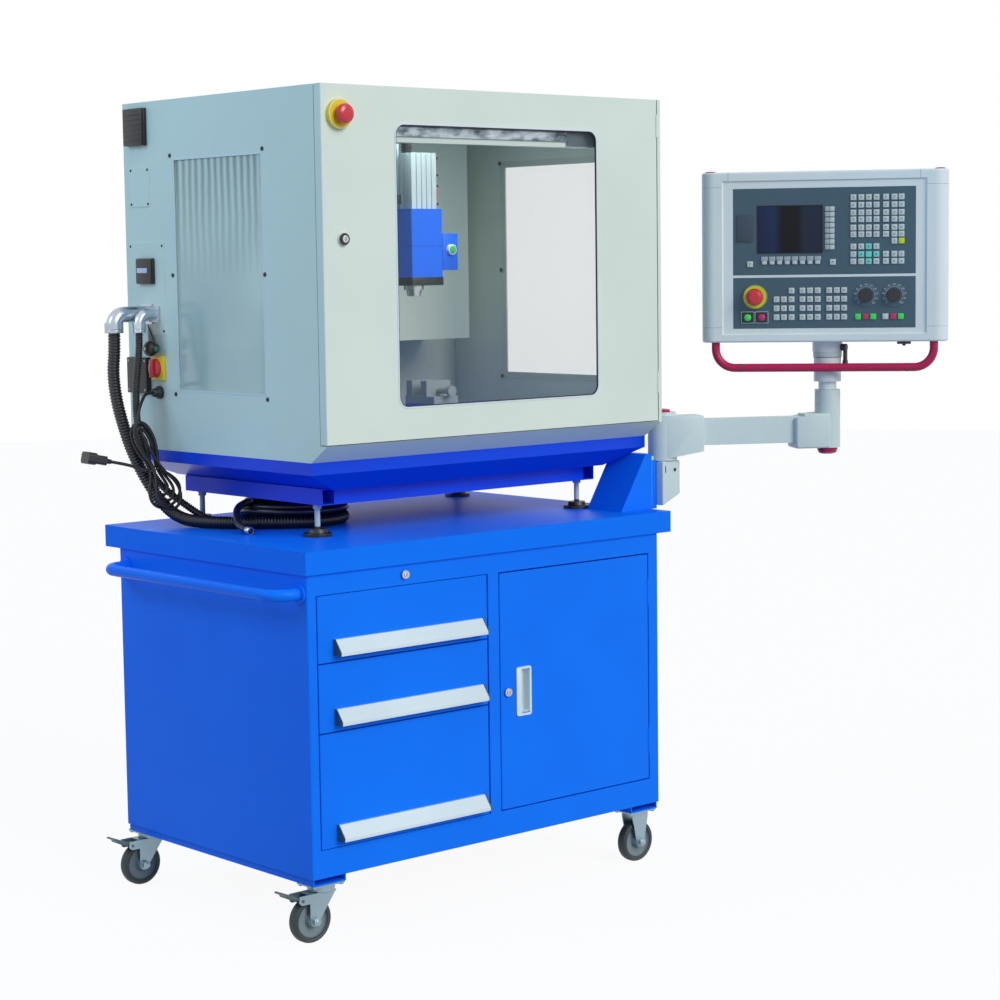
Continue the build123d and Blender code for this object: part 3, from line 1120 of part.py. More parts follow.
def screen_plate():
    """Front plate with the screen opening's bezel, soft keys and the upper key field."""
    front = -PANEL_FORWARD
    x0, z1 = on_plate(0, 0)
    x1, z0 = on_plate(PLATE_WIDTH, SCREEN_PLATE_HEIGHT)
    plate = block(x0, x1, front, front + PLATE_THICKNESS, z0, z1)
    keys = []
    for v in (23.6, 41.2, 58.7, 74.4, 93.1, 108.8):
        for u in (278.0, 296.0, 313.0, 330.7, 352.3, 371.6, 387.7):
            keys.append(raised(u, v, KEY, KEY, KEY_RISE, 1))
    for u in (371.6, 388.0):
        keys.append(raised(u, 124.7, KEY, KEY, KEY_RISE, 1))
    for u, v in ((313.0, 136.8), (296.0, 154.6), (313.0, 154.6), (330.7, 154.6), (313.0, 171.0)):
        keys.append(raised(u, v, KEY, KEY, KEY_RISE, 1))
    for v in (154.6, 171.0):
        for u in (352.3, 371.6, 387.7):
            keys.append(raised(u, v, KEY, KEY, KEY_RISE, 1))
    for k in range(8):
        keys.append(raised(223.5, 49.0 + k * 12.6, 22, SMALL_KEY, KEY_RISE, 1))
        keys.append(raised(73.0 + k * 17.6, 166.0, 14, SMALL_KEY * 1.6, KEY_RISE, 1))
    keys.append(raised(39.5, 174.5, 12, 12, KEY_RISE, 1))
    keys.append(raised(231.0, 171.5, 12, 12, KEY_RISE, 1))
    keys.append(raised(27.0, 91.5, 36, 61, 2.5, 1))
    plate -= raised(131.5, 95.0, 151, 110, 1, 1.5)
    return panel_place() * (plate + keys)


def knob_places():
    return ((307.0, 43.0), (371.0, 43.0))


def push_places():
    return ((34.0, 92.0), (66.4, 92.0))


def key_plate():
    """Lower plate: key blocks, dials, the stop button's disc and sockets for the moving controls."""
    front = -PANEL_FORWARD
    base = key_plate_v()
    x0, z1 = on_plate(0, base)
    x1, z0 = on_plate(PLATE_WIDTH, base + KEY_PLATE_HEIGHT)
    plate = block(x0, x1, front, front + PLATE_THICKNESS, z0, z1)
    for row, v in enumerate((30.4, 50.5, 71.3, 92.0)):
        for u in (100.8, 117.9, 135.7, 161.0, 178.3, 196.1, 222.6, 240.0, 257.0):
            if row == 0 and u < 120:
                continue
            plate += raised(u, base + v, KEY, KEY, KEY_RISE, 1)
    for u in (289.0, 306.0, 323.7, 351.6, 369.7, 386.8):
        plate += raised(u, base + 92.0, KEY, KEY, KEY_RISE, 1)
    for u, v in knob_places():
        x, z = on_plate(u, base + v)
        plate += rod_y(x, front - 1.5, front + 1, z, DIAL_RADIUS)
        plate -= rod_y(x, front - 3, front + PLATE_THICKNESS + 1, z, 3 + RUN_FIT)
    for u, v in push_places():
        x, z = on_plate(u, base + v)
        bezel = block(x - PUSH_WIDTH / 2 - 3, x + PUSH_WIDTH / 2 + 3, front - 3, front + 1,
                      z - PUSH_HEIGHT / 2 - 3, z + PUSH_HEIGHT / 2 + 3)
        plate += bezel
        gap = SEAT_GAP
        plate -= block(x - PUSH_WIDTH / 2 - gap, x + PUSH_WIDTH / 2 + gap, front - 4, front + PLATE_THICKNESS + 1,
                       z - PUSH_HEIGHT / 2 - gap, z + PUSH_HEIGHT / 2 + gap)
    x, z = on_plate(50.8, base + 44.5)
    plate += rod_y(x, front - 6, front + 1, z, ESTOP_DISC_RADIUS - 2)
    plate -= rod_y(x, front - 7, front + PLATE_THICKNESS + 1, z, 9 + RUN_FIT)
    return panel_place() * plate


def panel_estop_head():
    x, z = on_plate(50.8, key_plate_v() + 44.5)
    y = -PANEL_FORWARD - 6 - ESTOP_TRAVEL - 1
    return panel_place() * Pos(x, y, z) * Rot(90, 0, 0) * estop_head(ESTOP_HEAD_RADIUS, ESTOP_TRAVEL + 8)


def push_button(place):
    """Square push cap standing in its bezel."""
    x, z = on_plate(place[0], key_plate_v() + place[1])
    front = -PANEL_FORWARD
    cap = block(x - PUSH_WIDTH / 2, x + PUSH_WIDTH / 2, front - 3 - PUSH_TRAVEL, front + PLATE_THICKNESS,
                z - PUSH_HEIGHT / 2, z + PUSH_HEIGHT / 2)
    return panel_place() * chamfer(cap.edges().group_by(Axis.Y)[0], 1.2)


def override_knob(place):
    """Fluted knob with a pointer, on a spindle through the plate."""
    x, z = on_plate(place[0], key_plate_v() + place[1])
    face = -PANEL_FORWARD - 1.5 - SEAT_GAP
    knob = extrude(Circle(KNOB_RADIUS), amount=KNOB_HEIGHT, taper=4)
    for k in range(12):
        turn = Rot(0, 0, k * 30 + 15)
        knob -= turn * Pos(KNOB_RADIUS + 1.6, 0, KNOB_HEIGHT / 2) * Cylinder(2.6, KNOB_HEIGHT + 2)
    knob += Pos(0, KNOB_RADIUS * 0.45, KNOB_HEIGHT) * Box(2, KNOB_RADIUS * 0.7, 1.2)
    stem = Pos(0, 0, -PLATE_THICKNESS / 2) * Cylinder(3, PLATE_THICKNESS + 2)
    return panel_place() * Pos(x, face, z) * Rot(90, 0, 0) * (knob + stem)


def panel_handle():
    """Bent grip tube under the panel."""
    half = GRIP_SPAN / 2
    y = -SLEEVE_RADIUS - GRIP_RADIUS - GRIP_SLEEVE_GAP
    low = -GRIP_DROP
    route = FilletPolyline([Vector(-half, y, 0), Vector(-half, y, low), Vector(half, y, low), Vector(half, y, 0)],
                           radius=GRIP_BEND)
    tube = sweep(Plane(origin=route @ 0, z_dir=route % 0) * Circle(GRIP_RADIUS), path=route)
    return panel_place() * tube


def clamp_lever():
    """Ratchet lever that locks the panel's sleeve."""
    side = COUPLING_RADIUS + SEAT_GAP
    hub = rod_x(side, side + 13, 0, -14, 8)
    arm = block(side + 6, side + 13, -5, 5, -49, -14)
    lever = hub + arm + rod_x(side + 5, side + 14, 0, -49, 6)
    return panel_place() * Pos(-PANEL_SHIFT, 0, 0) * Rot(0, 0, -20) * lever


# Machine inside the enclosure

def machine_bed():
    """Cast bed with two guide rails and a raised foot for the column."""
    half = BED_WIDTH / 2
    low = TRAY_FLOOR + SHEET
    back = BED_FRONT + BED_LENGTH
    bed = block(ENCLOSURE_X - half, ENCLOSURE_X + half, BED_FRONT, back, low, BED_TOP)
    bed = fillet(bed.edges().filter_by(Axis.Z), 10)
    bed -= block(ENCLOSURE_X - 32, ENCLOSURE_X + 32, BED_FRONT + 20, COLUMN_FRONT - 20, low + 25, BED_TOP + 1)
    for side in (-1, 1):
        x = ENCLOSURE_X + side * (SADDLE_WIDTH / 2 - 30)
        bed += block(x - GUIDE_WIDTH / 2, x + GUIDE_WIDTH / 2, BED_FRONT + 8, COLUMN_FRONT - 12,
                     BED_TOP - 1, BED_TOP + GUIDE_HEIGHT)
    return bed


def saddle():
    """Cross slide: rides on the bed's rails and carries the table's rails."""
    low = BED_TOP + SEAT_GAP
    high = low + SADDLE_HEIGHT
    half = SADDLE_WIDTH / 2
    y0 = TABLE_CENTRE_Y - SADDLE_DEPTH / 2
    y1 = TABLE_CENTRE_Y + SADDLE_DEPTH / 2
    body = block(ENCLOSURE_X - half, ENCLOSURE_X + half, y0, y1, low, high)
    for side in (-1, 1):
        x = ENCLOSURE_X + side * (SADDLE_WIDTH / 2 - 30)
        w = GUIDE_WIDTH / 2 + SEAT_GAP
        body -= block(x - w, x + w, y0 - 1, y1 + 1, low - 1, BED_TOP + GUIDE_HEIGHT + SEAT_GAP)
        y = TABLE_CENTRE_Y + side * (TABLE_DEPTH / 2 - 25)
        body += block(ENCLOSURE_X - half, ENCLOSURE_X + half, y - GUIDE_WIDTH / 2, y + GUIDE_WIDTH / 2,
                      high - 1, high + GUIDE_HEIGHT)
    return body


def table_bottom():
    return BED_TOP + 2 * SEAT_GAP + SADDLE_HEIGHT


def table():
    """Slotted table with a small vise clamped on it."""
    low = table_bottom()
    high = low + TABLE_HEIGHT
    half_x = TABLE_LENGTH / 2
    y0 = TABLE_CENTRE_Y - TABLE_DEPTH / 2
    y1 = TABLE_CENTRE_Y + TABLE_DEPTH / 2
    body = block(ENCLOSURE_X - half_x, ENCLOSURE_X + half_x, y0, y1, low, high)
    for side in (-1, 1):
        y = TABLE_CENTRE_Y + side * (TABLE_DEPTH / 2 - 25)
        w = GUIDE_WIDTH / 2 + SEAT_GAP
        body -= block(ENCLOSURE_X - half_x - 1, ENCLOSURE_X + half_x + 1, y - w, y + w,
                      low - 1, low + GUIDE_HEIGHT + SEAT_GAP)
    for k in (-1, 0, 1):
        y = TABLE_CENTRE_Y + k * 38
        body -= block(ENCLOSURE_X - half_x - 1, ENCLOSURE_X + half_x + 1, y - 4, y + 4, high - 14, high + 1)
        body -= block(ENCLOSURE_X - half_x - 1, ENCLOSURE_X + half_x + 1, y - 7, y + 7, high - 14, high - 8)
    return body + vise(high)


def vise(floor):
    """Small vise: base, fixed jaw, moving jaw and the screw that closes it."""
    x = ENCLOSURE_X + VISE_SHIFT
    x0 = x - VISE_WIDTH / 2
    x1 = x + VISE_WIDTH / 2
    back = TABLE_CENTRE_Y + VISE_LENGTH / 2
    front = back - VISE_LENGTH
    deck = floor + VISE_BASE
    body = block(x0, x1, front, back, floor - 1, deck)
    fixed = back - 4
    moving = fixed - JAW_THICKNESS - JAW_GAP
    for jaw_back in (fixed, moving):
        body += block(x0, x1, jaw_back - JAW_THICKNESS, jaw_back, deck - 1, deck + JAW_HEIGHT)
    screw_z = deck + JAW_HEIGHT * 0.35
    body += rod_y(x, front - 16, moving, screw_z, 7)
    return body + rod_y(x, front - 22, front - 12, screw_z, 12)


def machine_column():
    """Upright column with a flared foot and two guide rails for the head."""
    half = COLUMN_WIDTH / 2
    back = COLUMN_FRONT + COLUMN_DEPTH
    column = block(ENCLOSURE_X - half, ENCLOSURE_X + half, COLUMN_FRONT, back, BED_TOP, COLUMN_TOP)
    toe = back + COLUMN_FOOT_REACH
    high = BED_TOP + COLUMN_FOOT_HEIGHT
    foot = prism_x([(COLUMN_FRONT, BED_TOP), (toe, BED_TOP), (toe, BED_TOP + 30), (back, high),
                    (COLUMN_FRONT, high)], ENCLOSURE_X - half, ENCLOSURE_X + half)
    column += foot
    for side in (-1, 1):
        x = ENCLOSURE_X + side * 45
        column += block(x - GUIDE_WIDTH / 2, x + GUIDE_WIDTH / 2, COLUMN_FRONT - GUIDE_HEIGHT, COLUMN_FRONT + 1,
                        BED_TOP + 150, COLUMN_TOP - 15)
    return column


def spindle_head():
    """Head: carriage on the column's rails, square housing, side box with a button, dark nose plate."""
    half = HEAD_WIDTH / 2
    top = HEAD_BOTTOM + HEAD_HEIGHT
    carriage_back = COLUMN_FRONT - SEAT_GAP
    head = block(ENCLOSURE_X - half, ENCLOSURE_X + half, HEAD_FRONT, COLUMN_FRONT - 45, HEAD_BOTTOM, top)
    head = fillet(head.edges().filter_by(Axis.Z).group_by(Axis.Y)[0], 3)
    carriage = block(ENCLOSURE_X - 62, ENCLOSURE_X + 62, COLUMN_FRONT - 46, carriage_back, HEAD_BOTTOM - 10, top)
    for side in (-1, 1):
        x = ENCLOSURE_X + side * 45
        w = GUIDE_WIDTH / 2 + SEAT_GAP
        carriage -= block(x - w, x + w, COLUMN_FRONT - GUIDE_HEIGHT - SEAT_GAP, carriage_back + 1,
                          HEAD_BOTTOM - 11, top + 1)
    head += carriage
    head += block(ENCLOSURE_X - half, ENCLOSURE_X + half, HEAD_FRONT, HEAD_FRONT + HEAD_WIDTH,
                  HEAD_BOTTOM - 18, HEAD_BOTTOM)
    box_front = HEAD_FRONT + 30
    box_low = HEAD_BOTTOM + 15
    head += block(ENCLOSURE_X + half - 1, ENCLOSURE_X + half + HEAD_BOX_WIDTH, box_front,
                  box_front + HEAD_BOX_DEPTH, box_low, box_low + HEAD_BOX_HEIGHT)
    head += rod_y(ENCLOSURE_X + half + HEAD_BOX_WIDTH / 2, box_front - 12, box_front + 1,
                  box_low + HEAD_BOX_HEIGHT * 0.56, 11)
    head -= post(ENCLOSURE_X, SPINDLE_Y, HEAD_BOTTOM - 19, HEAD_BOTTOM + 100, SPINDLE_RADIUS + RUN_FIT)
    return head


def spindle():
    """Rotating spindle with a collet nose."""
    low = HEAD_BOTTOM - 18 - SEAT_GAP
    shaft = post(ENCLOSURE_X, SPINDLE_Y, low - 8, HEAD_BOTTOM + 98, SPINDLE_RADIUS)
    nose = Pos(ENCLOSURE_X, SPINDLE_Y, low - 10) * extrude(Circle(24), amount=10)
    nut = Pos(ENCLOSURE_X, SPINDLE_Y, low - 10) * Rot(180, 0, 0) * extrude(Circle(19), amount=14, taper=12)
    body = shaft + nose + nut
    return body - post(ENCLOSURE_X, SPINDLE_Y, low - 25, low - 24 + COLLET_DEPTH, COLLET_RADIUS)


def spindle_motor():
    """Grooved aluminium extrusion of the spindle motor, standing on the head."""
    half = MOTOR_WIDTH / 2
    low = HEAD_BOTTOM + HEAD_HEIGHT
    y0 = HEAD_FRONT + 9
    motor = block(ENCLOSURE_X - half, ENCLOSURE_X + half, y0, y0 + MOTOR_WIDTH, low, low + MOTOR_HEIGHT)
    for k in range(4):
        offset = -half + MOTOR_WIDTH * (k + 1) / 5
        motor -= block(ENCLOSURE_X + offset - 1.5, ENCLOSURE_X + offset + 1.5, y0 - 1, y0 + 4, low - 1,
                       low + MOTOR_HEIGHT + 1)
        y = y0 + half + offset
        for x in (ENCLOSURE_X - half - 1, ENCLOSURE_X + half - 4):
            motor -= block(x, x + 5, y - 1.5, y + 1.5, low - 1, low + MOTOR_HEIGHT + 1)
    return motor


def control_box():
    """Large sheet housing on the enclosure's back wall."""
    half = CONTROL_BOX_WIDTH / 2
    box = block(ENCLOSURE_X - half, ENCLOSURE_X + half, CONTROL_BOX_FRONT, ENCLOSURE_BACK - SHEET,
                CONTROL_BOX_BOTTOM, ENCLOSURE_TOP - SHEET - SEAT_GAP)
    inner = block(ENCLOSURE_X - half + SHEET, ENCLOSURE_X + half - SHEET, CONTROL_BOX_FRONT + SHEET,
                  ENCLOSURE_BACK, CONTROL_BOX_BOTTOM + SHEET, ENCLOSURE_TOP - SHEET - 1)
    return box - inner


def main():
    os.makedirs("parts", exist_ok=True)
    save(cabinet_body(), "cabinet_body")
    save(worktop(), "worktop_slab")
    save(push_handle(), "push_handle")
    save(caster_plates(), "caster_plates")
    save(levelling_feet(), "levelling_feet")
    save(base_frame(), "base_frame")
    save(drip_tray(), "drip_tray")
    save(enclosure_shell(), "enclosure_shell")
    save(side_window_panes(), "side_window_panes")
    save(side_cover_plates(), "side_cover_plates")
    save(side_boxes(), "side_boxes")
    save(conduit_fittings(), "conduit_fittings")
    save(main_switch_plate(), "main_switch_plate")
    save(main_switch_knob(), "main_switch_knob")
    save(arm_pedestal(), "arm_pedestal")
    save(wall_bracket(), "wall_bracket")
    save(machine_bed(), "machine_bed")
    save(machine_column(), "machine_column")
    save(control_box(), "control_box")
    for name, (top, bottom) in zip(("top", "middle", "bottom"), drawer_levels()):
        save(drawer(top, bottom), "drawer_" + name)
        save(drawer_pull(bottom), "drawer_pull_" + name)
    save(cupboard_door(), "cupboard_door")
    save(enclosure_door(), "enclosure_door")
    save(door_pane(), "door_pane")
    save(door_estop_head(), "door_estop_head")
    for name, y in (("front", FRONT_CASTER_Y), ("rear", REAR_CASTER_Y)):
        save(swivel_fork(SWIVEL_X, y), "caster_fork_" + name)
        save(brake_pedal(y), "brake_pedal_" + name)
        save(wheel(SWIVEL_X - CASTER_TRAIL, y), "swivel_wheel_" + name)
        save(wheel(FIXED_X, y), "fixed_wheel_" + name)
    save(arm_link(), "arm_link")
    save(clamp_lever(), "clamp_lever")
    save(panel_body(), "panel_body")
    save(screen_plate(), "screen_plate")
    save(key_plate(), "key_plate")
    save(panel_handle(), "panel_handle")
    save(panel_estop_head(), "panel_estop_head")
    save(push_button(push_places()[0]), "start_button")
    save(push_button(push_places()[1]), "stop_button")
    save(override_knob(knob_places()[0]), "feed_knob")
    save(override_knob(knob_places()[1]), "speed_knob")
    save(saddle(), "saddle")
    save(table(), "table")
    save(spindle_head(), "spindle_head")
    save(spindle_motor(), "spindle_motor")
    save(spindle(), "spindle")
    save(cord("large hose", LARGE_HOSE_ROUTE, LARGE_HOSE_DIAMETER), "large_hose")
    save(cord("small hose", SMALL_HOSE_ROUTE, SMALL_HOSE_DIAMETER), "small_hose")
    feed = cord("mains feed", MAINS_FEED, MAINS_DIAMETER)
    lead = cord("mains lead", MAINS_LEAD, MAINS_DIAMETER)
    save(group([feed, lead]), "mains_cord")
    save(mains_hank(), "mains_hank")
    save(mains_plug(), "mains_plug")
    save(hose_coil(), "hose_coil")
    save(cord("hose tail", HOSE_TAIL, COOLANT_HOSE_DIAMETER), "hose_tail")


main()
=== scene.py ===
# %% [markdown]
# A small milling machine stands in a glazed sheet-metal enclosure on a blue tool cabinet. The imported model
# gives every moving part at its real size, so this lesson only dresses it: paint, glass, hoses, keys and
# small trim. The frame is loaded first, because each new piece is placed by it and rides on one of its
# bodies.

# %% Load the frame
import bpy
import json
import math
from mathutils import Matrix, Vector


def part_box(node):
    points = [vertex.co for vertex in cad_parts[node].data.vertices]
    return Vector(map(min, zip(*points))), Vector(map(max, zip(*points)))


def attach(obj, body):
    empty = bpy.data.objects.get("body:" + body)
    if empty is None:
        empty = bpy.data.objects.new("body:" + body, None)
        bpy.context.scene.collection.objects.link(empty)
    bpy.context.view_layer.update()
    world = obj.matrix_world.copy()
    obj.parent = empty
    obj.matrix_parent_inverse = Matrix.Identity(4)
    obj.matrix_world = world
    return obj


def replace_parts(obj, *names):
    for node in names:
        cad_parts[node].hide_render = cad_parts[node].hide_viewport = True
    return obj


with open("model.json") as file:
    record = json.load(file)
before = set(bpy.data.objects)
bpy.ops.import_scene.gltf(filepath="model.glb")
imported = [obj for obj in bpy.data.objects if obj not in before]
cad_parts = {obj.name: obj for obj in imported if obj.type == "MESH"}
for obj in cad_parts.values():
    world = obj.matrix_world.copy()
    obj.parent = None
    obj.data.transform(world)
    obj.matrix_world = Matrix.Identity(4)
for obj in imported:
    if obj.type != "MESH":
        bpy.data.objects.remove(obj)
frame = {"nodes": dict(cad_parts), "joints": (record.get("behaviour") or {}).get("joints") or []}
nodes = frame["nodes"]
joints = {joint["name"]: joint for joint in frame["joints"]}
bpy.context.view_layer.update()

# %% [markdown]
# The camera repeats the photograph's viewpoint. It was worked out from the cabinet's and the enclosure's
# straight edges, as a yaw, a small downward pitch and a slight roll, with the lens shifted a little off
# centre.

# %% Camera
CAMERA_PLACE = Vector((-3.3048, -4.1075, 1.3897))
YAW = math.radians(41.450)
PITCH = math.radians(5.600)
ROLL = math.radians(-0.765)
look = Vector((math.sin(YAW) * math.cos(PITCH), math.cos(YAW) * math.cos(PITCH), -math.sin(PITCH)))
level = Vector((math.cos(YAW), -math.sin(YAW), 0))
upright = level.cross(look)
camera_right = level * math.cos(ROLL) + upright * math.sin(ROLL)
camera_up = upright * math.cos(ROLL) - level * math.sin(ROLL)
camera_data = bpy.data.cameras.new("camera")
camera_data.sensor_width = 36
camera_data.lens = 83.80
camera_data.shift_x = 0.002623
camera_data.shift_y = -0.00934
camera = bpy.data.objects.new("camera", camera_data)
bpy.context.scene.collection.objects.link(camera)
camera.matrix_world = Matrix((
    (camera_right.x, camera_up.x, -look.x, CAMERA_PLACE.x),
    (camera_right.y, camera_up.y, -look.y, CAMERA_PLACE.y),
    (camera_right.z, camera_up.z, -look.z, CAMERA_PLACE.z),
    (0, 0, 0, 1)))
bpy.context.scene.camera = camera
bpy.context.scene.view_settings.view_transform = "Standard"
print("camera at", tuple(CAMERA_PLACE))

# %% [markdown]
# Studio light: the front of the machine is bright and slightly warm, and its left side is cooler and
# darker. A broad, soft sun from the front lights the object and the floor evenly, so that the floor meets
# the white background without a horizon. A bluish world fills the shade, one lamp high on the left lifts
# the enclosure's side, and a weak one under its roof stands in for the machine's own work lamp. Light Path
# shows the white background to the camera, to mirrors and through glass, without adding light.

# %% Light and floor
def plug(tree, made, inputs):
    """Link each input to a socket, or set it to a value."""
    for key, value in inputs.items():
        if isinstance(value, bpy.types.NodeSocket):
            tree.links.new(value, made.inputs[key])
        else:
            made.inputs[key].default_value = value


def node(tree, kind, inputs=None, **settings):
    """New shader node with its settings and inputs."""
    made = tree.nodes.new(kind)
    for key, value in settings.items():
        setattr(made, key, value)
    plug(tree, made, inputs or {})
    return made


def empty_tree(owner):
    owner.use_nodes = True
    owner.node_tree.nodes.clear()
    return owner.node_tree


def seen_directly(tree):
    """1 for camera, glossy and transmission rays, which meet the white background."""
    rays = node(tree, "ShaderNodeLightPath").outputs
    either = {0: rays["Is Camera Ray"], 1: rays["Is Glossy Ray"]}
    first = node(tree, "ShaderNodeMath", either, operation="MAXIMUM")
    both = {0: first.outputs[0], 1: rays["Is Transmission Ray"]}
    return node(tree, "ShaderNodeMath", both, operation="MAXIMUM").outputs[0]


def lamp_at(name, kind, place, target, colour, strength):
    lamp = bpy.data.lights.new(name, kind)
    lamp.energy = strength
    lamp.color = colour
    holder = bpy.data.objects.new(name, lamp)
    bpy.context.scene.collection.objects.link(holder)
    holder.location = place
    holder.rotation_euler = (Vector(target) - Vector(place)).to_track_quat("-Z", "Y").to_euler()
    return lamp


SUN_SPREAD = 34
key = lamp_at("key_sun", "SUN", (0.35, -4.6, 3.4), (0, 0, 0.9), (0.98, 0.94, 0.88), 1.85)
key.angle = math.radians(SUN_SPREAD)
side = lamp_at("side_lamp", "AREA", (-3.0, 0.9, 2.9), (-0.44, 0, 1.35), (0.40, 0.70, 1.0), 31)
side.shape = "DISK"
side.size = 1.6
inside = lamp_at("work_lamp", "AREA", (0.06, -0.15, 1.705), (0.06, -0.15, 1.2), (0.92, 1.0, 0.96), 1.1)
inside.size = 0.26
bpy.data.objects["work_lamp"].visible_camera = False

world = bpy.data.worlds.new("studio")
bpy.context.scene.world = world
tree = empty_tree(world)
fill = node(tree, "ShaderNodeBackground", {"Color": (0.44, 0.64, 0.90, 1), "Strength": 0.56})
white = node(tree, "ShaderNodeBackground", {"Color": (1, 1, 1, 1), "Strength": 1.0})
mixer = node(tree, "ShaderNodeMixShader", {0: seen_directly(tree), 1: fill.outputs[0], 2: white.outputs[0]})
node(tree, "ShaderNodeOutputWorld", {0: mixer.outputs[0]})

FLOOR_RADIUS = 14
bpy.ops.object.select_all(action="DESELECT")
bpy.ops.mesh.primitive_circle_add(vertices=64, radius=FLOOR_RADIUS, fill_type="NGON", location=(0, 0, 0))
floor = bpy.context.object
floor.name = "floor"
floor_paint = bpy.data.materials.new("floor_paint")
tree = empty_tree(floor_paint)
bounce = node(tree, "ShaderNodeBsdfDiffuse", {"Color": (0.40, 0.42, 0.46, 1)})
matt = node(tree, "ShaderNodeBsdfDiffuse", {"Color": (0.92, 0.94, 0.96, 1)})
glow = node(tree, "ShaderNodeEmission", {"Strength": 1.0})
seen = node(tree, "ShaderNodeMixShader", {0: 0.94, 1: matt.outputs[0], 2: glow.outputs[0]})
blend = node(tree, "ShaderNodeMixShader", {0: seen_directly(tree), 1: bounce.outputs[0], 2: seen.outputs[0]})
node(tree, "ShaderNodeOutputMaterial", {0: blend.outputs[0]})
floor.data.materials.append(floor_paint)

# %% [markdown]
# Finishes. Powder coat, zinc, aluminium and moulded plastic differ in colour, gloss and in how rough they
# are at the scale of a millimetre. Each finish gets a slow change of colour, a fine grain that drives both
# roughness and bump, and a Bevel node that catches light on edges the solids leave sharp. All patterns
# read Object coordinates.

# %% Finish helper
def linear(red, green, blue, tint=1.0):
    """Colour of a 0-255 screen value, for a shader socket, made lighter or darker by a tint."""
    def step(value):
        value = value / 255
        value = value / 12.92 if value <= 0.04045 else ((value + 0.055) / 1.055) ** 2.4
        return min(1.0, value * tint)
    return (step(red), step(green), step(blue), 1)


def add_noise(tree, coords, scale, detail, stretch=None):
    if stretch:
        coords = node(tree, "ShaderNodeMapping", {"Scale": stretch, "Vector": coords}).outputs["Vector"]
    pattern = {"Scale": scale, "Detail": detail, "Vector": coords}
    return node(tree, "ShaderNodeTexNoise", pattern).outputs["Fac"]


def add_ramp(tree, factor, stops, interpolation="LINEAR"):
    """Colour from (place, screen colour) stops. A stop may end with a tint."""
    ramp = node(tree, "ShaderNodeValToRGB", {"Fac": factor})
    ramp.color_ramp.interpolation = interpolation
    while len(ramp.color_ramp.elements) < len(stops):
        ramp.color_ramp.elements.new(0.5)
    for element, (place, colour, *tint) in zip(ramp.color_ramp.elements, stops):
        element.position = place
        element.color = linear(*colour, *tint)
    return ramp.outputs["Color"]


def add_range(tree, value, low, high, start=0.0, end=1.0):
    """The value moved from between start and end to between low and high."""
    limits = {"Value": value, "From Min": start, "From Max": end, "To Min": low, "To Max": high}
    return node(tree, "ShaderNodeMapRange", limits).outputs["Result"]


def add_height(tree, coords, low, high):
    """0 to 1 as the height goes from low to high."""
    split = node(tree, "ShaderNodeSeparateXYZ", {0: coords})
    return add_range(tree, split.outputs["Z"], 0, 1, low, high)


CLOUD_SCALE = 5.0
SHEEN_SPREAD = 0.07
RELIEF_HEIGHT = 0.0004


def finish(name, colour, roughness, metallic=0.0, grain=700.0, bump=0.12, mottle=0.05, coat=0.0,
           edge=0.0007, alpha=1.0, gloss=0.5, stretch=None, colour_from=None):
    """Slow mottling, fine grain and soft edges. colour_from(tree, coords) may give the colour."""
    material = bpy.data.materials.new(name)
    material.use_nodes = True
    tree = material.node_tree
    coords = node(tree, "ShaderNodeTexCoord").outputs["Object"]
    if colour_from:
        shade = colour_from(tree, coords)
    else:
        clouds = add_noise(tree, coords, CLOUD_SCALE, 2.0)
        shade = add_ramp(tree, clouds, [(0.32, colour, 1 - mottle), (0.68, colour, 1 + mottle)])
    fine = add_noise(tree, coords, grain, 2.0, stretch)
    sheen = add_range(tree, fine, roughness - SHEEN_SPREAD, roughness + SHEEN_SPREAD)
    relief = node(tree, "ShaderNodeBump", {"Strength": bump, "Distance": RELIEF_HEIGHT, "Height": fine})
    if edge:
        soft = node(tree, "ShaderNodeBevel", {"Radius": edge}, samples=4)
        plug(tree, relief, {"Normal": soft.outputs["Normal"]})
    plug(tree, tree.nodes["Principled BSDF"], {"Base Color": shade, "Roughness": sheen, "Metallic": metallic,
                                               "Coat Weight": coat, "Coat Roughness": 0.12, "Alpha": alpha,
                                               "Specular IOR Level": gloss,
                                               "Normal": relief.outputs["Normal"]})
    return material


BLUE = (18, 124, 255)
cabinet_blue = finish("cabinet_blue", BLUE, 0.36, bump=0.10, mottle=0.035, gloss=0.10)
slab_blue = finish("slab_blue", BLUE, 0.40, bump=0.10, mottle=0.035, gloss=0.07)
tray_blue = finish("tray_blue", (6, 72, 226), 0.34, bump=0.08, mottle=0.05, gloss=0.22)
shell_grey = finish("shell_grey", (230, 238, 222), 0.44, bump=0.10, mottle=0.02, gloss=0.35)
arm_grey = finish("arm_grey", (210, 224, 221), 0.42, grain=900, mottle=0.03, gloss=0.4)
panel_grey = finish("panel_grey", (234, 241, 238), 0.38, grain=1200, mottle=0.025, gloss=0.4)
slate = finish("slate", (62, 90, 105), 0.46, grain=1600, bump=0.16, mottle=0.04)
black_plastic = finish("black_plastic", (26, 28, 31), 0.42, grain=1300, bump=0.22, mottle=0.12)
black_rubber = finish("black_rubber", (22, 23, 25), 0.60, grain=800, bump=0.30, mottle=0.15)
hose_black = finish("hose_black", (24, 25, 28), 0.36, grain=900, bump=0.15, mottle=0.20, edge=0)
smooth_hose = finish("smooth_hose", (30, 31, 42), 0.30, grain=500, mottle=0.18, edge=0)
bright_alloy = finish("bright_alloy", (186, 196, 206), 0.24, metallic=0.92, grain=300, bump=0.16,
                      mottle=0.14)
zinc = finish("zinc", (150, 172, 182), 0.36, metallic=0.75, grain=180, bump=0.25, mottle=0.12)
satin_alloy = finish("satin_alloy", (212, 227, 232), 0.32, metallic=0.5, grain=420, bump=0.14, mottle=0.03,
                     stretch=(0.05, 1, 1))
